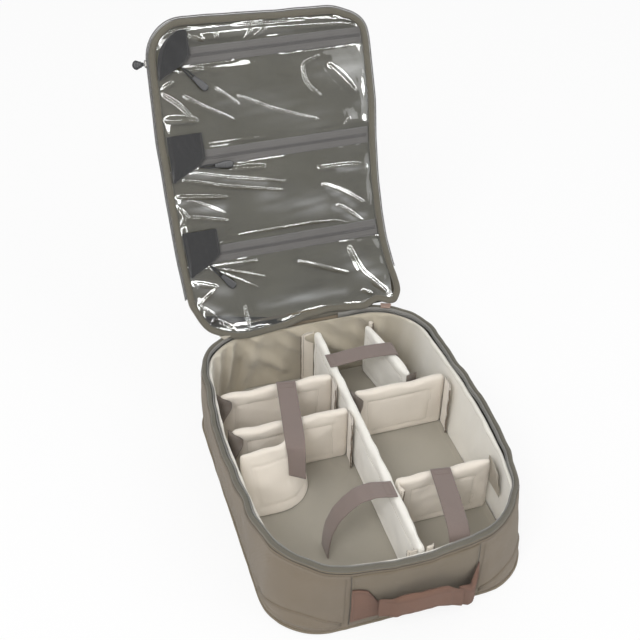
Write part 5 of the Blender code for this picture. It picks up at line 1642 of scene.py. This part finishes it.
def pad_places(points, foot, head):
    """How far along a pad its points are, how far off its middle line, and the line's left direction."""
    up = np.clip((points[:, 2] - DIVIDER_LOW) / (DIVIDER_TOP - DIVIDER_LOW), 0, 1)[:, None, None]
    gap = points[:, None, :2] - (foot[None] * (1 - up) + head[None] * up)
    nearest = np.argmin(np.sum(gap**2, -1), 1)
    gap = gap[np.arange(len(points)), nearest]
    along = unit(np.gradient(head, axis=0))[nearest]
    left = np.stack([-along[:, 1], along[:, 0]], 1)
    return lengths(head)[nearest] + np.sum(gap * along, 1), np.sum(gap * left, 1), left


def seam_press(run, rise, boxes, width):
    """How close places on a pad are to the lines of its sewn boxes, from 0 to 1."""
    press = np.zeros_like(run)
    for start, end, low, high in boxes:
        for value, edge, other, first, last in (
            (run, start, rise, low, high), (run, end, rise, low, high),
            (rise, low, run, start, end), (rise, high, run, start, end),
        ):
            within = (other > first - 0.001) & (other < last + 0.001)
            press = np.maximum(press, bell(value, edge, width) * within)
    return press


def straight_divider(node, line, thick, box, sides, seed, **settings):
    """A straight pad with its sewn box stitched on both faces, whose names are in sides."""
    pad = padded_wall(node + "_pad", (line, line), thick, [box], seed, **settings)
    surface = Surface(pad)
    line = np.array(line, float)
    along = unit(line[1] - line[0])
    start, end, low, high = box
    for face, side in zip((-1, 1), sides):
        out = np.array([-along[1], along[0]]) * face
        corners = []
        for run, rise in ((start, low), (start, high), (end, high), (end, low)):
            corners.append((*(line[0] + along * run + out * (thick / 2 + 0.003)), rise))
        places, outs = surface.onto(resample(corners, 0.002), (*out, 0.0))
        seam = stitch_row(f"{node}_stitches_{side}", places, outs, THREAD_LIGHT, thick=0.00022)
        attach(seam, node)


FLAP_THICK = 0.0018
FLAP_SEAM = 14


def end_flap(name, body, start, reach, lean_in, curl=0.003):
    """A stiff stitched flap on a pad's end: start is where it leaves the pad, reach where it ends, both in
    plan, and lean_in the way that its far edge curls."""
    start, reach, lean_in = (np.asarray(value, float) for value in (start, reach, lean_in))
    rises = np.linspace(DIVIDER_LOW + 0.0004, DIVIDER_TOP - 0.0008, 40)
    shares = np.linspace(0, 1, 18)
    bend = curl * np.maximum(shares - 0.55, 0) ** 2 / 0.2
    wave = 0.0005 * np.sin(rises * 2 * math.pi / 0.028)[:, None] * shares**2
    grid = np.zeros((40, 18, 3))
    grid[..., :2] = start + (reach - start) * shares[:, None] + lean_in * (bend + wave)[..., None]
    corner = smooth_step((rises - DIVIDER_TOP + 0.02) / 0.02)[:, None]
    grid[..., 2] = rises[:, None] - 0.0035 * np.maximum(shares - 0.6, 0) * corner
    flap = sheet_piece(name, grid, FLAP_THICK, PAD, roll=0.6, lift=-FLAP_THICK / 2)
    rows = []
    for side in (-1, 1):
        out = grid_normals(grid)[2:-2, FLAP_SEAM] * side
        places, outs = Surface(flap).onto(grid[2:-2, FLAP_SEAM] + out * 0.004, out)
        rows.append(stitch_row("seam", places, outs, THREAD_BROWN, pitch=0.003, thick=0.00028))
    seam = join(name + "_stitches", rows)
    edging = tube(name + "_edging", grid[1:-1, -1], 0.0011, EDGING, False, 8, 0.75)
    ride_all(body, flap, seam, edging)


def hook_patch(name, node, body, peel, grow=0.0, cloth=HOOK):
    """A patch of hook tape on a divider's end; its free edge peels off what it holds to."""
    low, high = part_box(node)
    corners = np.array([vertex.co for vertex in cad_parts[node].data.vertices])[:, :2]
    middle = corners.mean(0)
    flat = corners - middle
    _, _, axes = np.linalg.svd(flat, full_matrices=False)
    along = -axes[0] if axes[0][1] > 0 else axes[0]
    out = -axes[1] if axes[1][0] < 0 else axes[1]
    run = flat @ along
    thick = np.ptp(flat @ out)
    places = np.linspace(run.min() + 0.0002 - grow, run.max() - 0.0002 + grow, 18)
    rises = np.linspace(low.z + 0.0002, high.z - 0.0002 + grow, 24)
    free = smooth_step((places - run.min()) / np.ptp(run)) * smooth_step((rises - low.z) / 0.030)[:, None]
    grid = np.zeros((24, 18, 3))
    grid[..., :2] = middle + along * (places - abs(peel) * 0.4 * free)[..., None] - out * thick * 0.42
    grid[..., :2] += out * (peel * free**1.5)[..., None]
    grid[..., 2] = rises[:, None] + 0.0015 * free
    patch = sheet_piece(name, grid, thick * 0.84, cloth, roll=0.5)
    stand_in(patch, "hook_brown", node)
    ride_all(body, patch)


def central_divider():
    """The long divider, with a flap at its rear end and two at its front end."""
    node = "central_divider"
    low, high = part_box(node)
    rear, front, across = high.y - 0.0004, low.y + 0.0004, 0.0135
    box = (0.014, 0.385, BOX_LOW, BOX_HIGH)
    line = [(across, rear), (across, front)]
    straight_divider(node, line, 0.012, box, ("left", "right"), 1, cloth=PAD_LIGHT)
    end_flap(node + "_rear_flap", node, (0.0085, rear - 0.0012), (low.x + 0.0006, rear - 0.0016), (0, -1))
    reach = (high.x - 0.0006, front + 0.0015)
    end_flap(node + "_front_flap", node, (0.0195, front + 0.0013), reach, (0, 1))
    end_flap(node + "_front_flap_left", node, (0.0075, front + 0.0013), (-0.0025, front + 0.0015), (0, 1))


def short_divider():
    """The oblique divider at the rear, with its hook tab and a small rear flap."""
    line = [(0.0833, 0.1845), (0.1045, 0.0710)]
    box = (0.012, 0.103, BOX_LOW, BOX_HIGH)
    straight_divider("short_divider", line, 0.0118, box, ("right", "left"), 2, cloth=PAD_LIGHT)
    hook_patch("short_divider_hook", "short_divider_hook_tab", "short_divider", 0.002, grow=0.0025)
    end_flap("short_divider_rear_flap", "short_divider", (0.0885, 0.1868), (0.0950, 0.1880), (0, -1), 0.001)


# Each cross divider's node, its place along the tub, its end with the flap (1 for the right one), its
# hook tape's peel and cloth
CROSS_DIVIDERS = (
    ("left_cross_divider_1", 0.1005, 1, 0.015, HOOK),
    ("left_cross_divider_2", 0.0335, 1, 0.013, HOOK),
    ("right_cross_divider_1", 0.0580, 1, 0.008, HOOK),
    ("right_cross_divider_2", -0.1005, -1, -0.004, HOOK_LIGHT),
)


def cross_dividers():
    """The four cross dividers, each with an end flap and a hook tab."""
    for seed, (node, along, flap_side, peel, cloth) in enumerate(CROSS_DIVIDERS, 3):
        low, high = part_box(node)
        left, right = low.x + 0.0004, high.x - 0.0004
        box = (0.020, right - left - 0.022, BOX_LOW, DIVIDER_TOP - 0.0200)
        line = [(left, along), (right, along)]
        straight_divider(node, line, 0.0130, box, ("front", "rear"), seed, dip=0.0018)
        edge = right if flap_side > 0 else left
        start = (edge - flap_side * 0.0013, along - 0.0050)
        end_flap(node + "_flap", node, start, (edge - flap_side * 0.0015, low.y + 0.0008), (-flap_side, 0))
        hook_patch(node + "_hook", node + "_hook_tab", node, peel, cloth=cloth)


def curved_divider():
    """The bent pad between the left wall and the second left cross divider, leaning out at its foot."""
    low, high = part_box("curved_divider")
    half = 0.005

    def path(along, across, radius):
        centre = np.array((across - radius, along + radius))
        points = [(low.x + 0.0006, along + half)]
        for angle in np.radians(np.linspace(270, 360, 17)):
            points.append(centre + (radius - half) * np.array((math.cos(angle), math.sin(angle))))
        return rounded(np.array(points + [(across - half, high.y - 0.0004)]), 0.0021, 3)

    lines = (path(-0.043, -0.055, 0.050), path(-0.012, -0.072, 0.036))
    rises = (DIVIDER_LOW + 0.012, DIVIDER_TOP - 0.018)
    boxes = [(0.012, 0.070, *rises), (0.082, 0.120, *rises)]
    padded_wall("curved_divider_pad", lines, 0.0100, boxes, 7, dip=0.0020)


# Straps


STRAP_SEAM = (0.0025, 0.0125)


def strap_grid(route, heading, start, twist, seed):
    """The rings of a strap along its route; twist turns its free end about its length."""
    along = unit(np.gradient(route, axis=0))
    up = np.stack([-along[:, 1], along[:, 0]], 1)
    run = lengths(route)
    wide = np.linspace(-1, 1, 16)
    thick = STRAP_SHEET * np.where(np.abs(wide) > 0.85, 0.86, 0.96)
    bow = 0.00025 * (1 - wide**2)
    turn = math.radians(heading)
    forward, left = np.array([math.cos(turn), math.sin(turn)]), np.array([-math.sin(turn), math.cos(turn)])
    turns = math.radians(twist) * smooth_step((run / run[-1] - 0.45) / 0.5)
    rows = []
    for index, middle in enumerate(route):
        outer, under = [], []
        for across, sheet, crown in zip(wide, thick, bow):
            wave = 0.00018 * math.sin(run[index] * 210 + across * 2 + seed)
            for lift, side in ((wave * 0.5, under), (sheet - 0.0002 + crown * 0.4, outer)):
                aside = across * STRAP_WIDE / 2
                place = middle + up[index] * lift + up[index] * aside * math.sin(turns[index])
                flat = forward * place[0] + left * aside * math.cos(turns[index])
                side.append((start[0] + flat[0], start[1] + flat[1], start[2] + place[1]))
        rows.append(outer + under[::-1])
    return np.array(rows)


def strap(node, route, heading, start, seed, twist=0.0):
    """A webbing strap laid along the route of its CAD solid, sewn down at its start."""
    route = rounded(np.array(route), 0.0025, 2)
    run = lengths(route)
    grid = strap_grid(route, heading, (*start, STRAP_UNDER), twist, seed)
    band = closed_piece(node + "_webbing", grid, WEBBING)
    stand_in(band, "brown_webbing", node)
    picked = grid[:, :16][(run > STRAP_SEAM[0]) & (run < STRAP_SEAM[1])]
    box = np.concatenate([picked[0, 2:14], picked[1:, 13], picked[-1, 13:1:-1], picked[::-1, 2][1:]])
    places, outs = Surface(band).onto(box + (0, 0, 0.002), UP)
    seam = stitch_row(node + "_webbing_stitches", places, outs, THREAD_BROWN, pitch=0.0028, thick=0.00025)
    ride_all(node, band, seam)


# The straps' routes as in the CAD source, each row as shares of the runs that follow it, then sheets of
# webbing under it, then how far it has fallen as a share of the dividers' height
REAR_ROUTE = ((0.0, 0.0, 0.0), (0.15, 0.0, 0.0), (0.30, 1.0, 0.0), (0.55, 2.0, 0.0), (0.80, 1.0, 0.0),
              (0.975, 0.0, 0.0), (1.0, -2.0, 0.0), (1.005, 0.0, -0.28))
FLOOR_ROUTE = ((0.0, 0.0, 0.0), (0.11, 1.0, 0.0), (0.315, 4.0, 0.0), (0.54, 2.0, 0.0), (0.70, 0.0, -0.09),
               (0.85, 0.0, -0.28), (0.945, 0.0, -0.53), (0.98, 0.0, -0.78), (0.99, 0.3, -1.0))
LEFT_ROUTE = ((0.0, 0.0, 0.0, 0.0, 0.0), (1.0, 0.0, 0.0, 0.0, 0.0), (1.0, 0.80, 0.0, 0.0, 0.0),
              (1.0, 1.12, 0.0, -1.0, 0.0), (1.0, 1.12, 0.15, 0.0, -0.15), (1.0, 1.12, 0.48, 0.0, -0.45))
FRONT_ROUTE = ((0.0, 0.0, 0.0), (0.10, 0.0, 0.0), (0.45, 1.0, 0.0), (0.80, 0.0, 0.0), (0.91, 0.0, -0.06),
               (0.94, 0.0, -0.17), (0.94, 0.0, -0.33))


def route_of(shares, *runs):
    """How far along and how high a strap's underside runs."""
    drop = STRAP_UNDER - DIVIDER_LOW
    route = []
    for *along, sheets, fall in shares:
        far = sum(share * run for share, run in zip(along, runs))
        route.append((far, sheets * STRAP_SHEET + fall * drop))
    return route


def straps():
    """The four straps over the dividers."""
    slope = (0.106 - 0.081) / 0.1345
    left = 0.0135 - 0.006
    short_face = 0.081 + slope * 0.0695 + 0.006
    span = short_face + slope * STRAP_WIDE / 2 + 0.0015 - left
    strap("rear_strap", route_of(REAR_ROUTE, span), 0.0, (left, 0.123),
          1)
    strap("floor_strap", route_of(FLOOR_ROUTE, STRAP_UNDER - DIVIDER_LOW), 180.0, (0.0135, -0.115),
          2)
    strap("left_strap", route_of(LEFT_ROUTE, 0.067, 0.0335 + 0.012, 0.043 - 0.012), -100.0, (-0.0575, 0.1005),
          3, 38.0)
    strap("front_strap", route_of(FRONT_ROUTE, 0.1087), -99.0, (0.078, -0.1005),
          4)


# Stage, light and camera

WORLD_LIGHT = 0.72
KEY_LIGHT = 38.0
FILL_LIGHT = 12.0
GLINT_LIGHT = 42.0


def world_light():
    """A world that is white to the camera and lights the scene a little less."""
    scene = bpy.context.scene
    scene.view_settings.view_transform = "Standard"
    world = bpy.data.worlds.new("studio")
    scene.world = world
    world.use_nodes = True
    tree = world.node_tree
    tree.nodes.clear()
    rays = tree.nodes.new("ShaderNodeLightPath")
    strength = tree.nodes.new("ShaderNodeMapRange")
    strength.inputs["To Min"].default_value = WORLD_LIGHT
    strength.inputs["To Max"].default_value = 1.0
    tree.links.new(rays.outputs["Is Camera Ray"], strength.inputs["Value"])
    back = tree.nodes.new("ShaderNodeBackground")
    back.inputs["Color"].default_value = (1, 1, 1, 1)
    tree.links.new(strength.outputs["Result"], back.inputs["Strength"])
    out = tree.nodes.new("ShaderNodeOutputWorld")
    tree.links.new(back.outputs[0], out.inputs["Surface"])


def studio_floor():
    """A wide pale floor that glows for the camera alone."""
    nodes = Nodes("studio_floor")
    nodes.shader.inputs["Base Color"].default_value = (0.86, 0.86, 0.86, 1)
    nodes.shader.inputs["Roughness"].default_value = 0.9
    nodes.shader.inputs["Specular IOR Level"].default_value = 0.0
    rays = nodes.add("ShaderNodeLightPath")
    glow = nodes.add("ShaderNodeEmission")
    mix = nodes.add("ShaderNodeMixShader")
    share = nodes.math("MULTIPLY", rays.outputs["Is Camera Ray"], 0.86)
    nodes.link(share, mix.inputs[0])
    nodes.link(nodes.shader.outputs[0], mix.inputs[1])
    nodes.link(glow.outputs[0], mix.inputs[2])
    nodes.link(mix.outputs[0], nodes.tree.nodes["Material Output"].inputs["Surface"])
    mesh = bpy.data.meshes.new("studio_floor")
    side = 12.0
    corners = [(-side, -side, 0), (side, -side, 0), (side, side, 0), (-side, side, 0)]
    mesh.from_pydata(corners, [], [(0, 1, 2, 3)])
    mesh.materials.append(nodes.material)
    floor = bpy.data.objects.new("studio_floor", mesh)
    bpy.context.scene.collection.objects.link(floor)


def studio_lamps():
    """Two lamps, and three narrow ones that show only as glints in the lid's films."""
    lamps = [
        ("key", (-1.3, -1.5, 2.3), (0, 0, 0.1), (1.3, 1.3), KEY_LIGHT),
        ("fill", (1.7, -1.3, 1.7), (0, 0, 0.1), (1.6, 1.6), FILL_LIGHT),
    ]
    lid_middle = Vector(on_lid((0, 0.2, 0)))
    mirror = Vector((0.228, -0.864, 0.449)).normalized()
    leftward = mirror.cross(Vector((0, 0, 1))).normalized()
    upward = leftward.cross(mirror)
    for name, left, up, size in (
        ("glint_left", 0.52, 0.05, (0.30, 1.7)),
        ("glint_right", -0.50, 0.10, (0.30, 1.7)),
        ("glint_top", 0.0, 0.48, (1.7, 0.28)),
    ):
        toward = (mirror + leftward * left + upward * up).normalized()
        lamps.append((name, lid_middle + toward * 2.1, lid_middle, size, GLINT_LIGHT * size[0] * size[1]))
    for name, place, aim, size, power in lamps:
        lamp = bpy.data.lights.new(name, "AREA")
        lamp.shape = "RECTANGLE"
        lamp.size, lamp.size_y = size
        lamp.energy = power
        holder = bpy.data.objects.new(name, lamp)
        holder.location = place
        holder.rotation_euler = (Vector(aim) - Vector(place)).to_track_quat("-Z", "Y").to_euler()
        holder.visible_diffuse = not name.startswith("glint")
        bpy.context.scene.collection.objects.link(holder)


def camera():
    """The photograph's view, from a fit to the outlines of the rim, the base and the lid."""
    turn, rise, roll = (math.radians(value) for value in (-18.232, 39.599, 1.119))
    back = Vector((math.sin(turn) * math.cos(rise), -math.cos(turn) * math.cos(rise), math.sin(rise)))
    right = Vector((0, 0, 1)).cross(back).normalized()
    up = back.cross(right)
    side = right * math.cos(roll) + up * math.sin(roll)
    over = up * math.cos(roll) - right * math.sin(roll)
    place = back * 1.4727 + right * -0.0428 + up * 0.2064
    lens = bpy.data.cameras.new("camera")
    lens.sensor_width = 36.0
    lens.lens = 63.244
    shown = bpy.data.objects.new("camera", lens)
    shown.matrix_world = Matrix((
        (side.x, over.x, back.x, place.x),
        (side.y, over.y, back.y, place.y),
        (side.z, over.z, back.z, place.z),
        (0, 0, 0, 1),
    ))
    bpy.context.scene.collection.objects.link(shown)
    bpy.context.scene.camera = shown


camera()
world_light()
studio_floor()
studio_lamps()
outer_shell()
tub_pipings()
tub_zip()
liner()
floor_pad()
front_panel()
corner_patches()
handle_wedges()
handle_grip()
lid_cover()
lid_binding()
lid_zip()
lid_lining()
lid_windows()
pocket_zips()
garages()
sliders_and_pulls()
closing_slider()
hinge()
zip_end_tabs()
central_divider()
short_divider()
cross_dividers()
curved_divider()
straps()

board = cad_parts["base_board"]
board.data.materials.clear()
board.data.materials.append(BOARD)
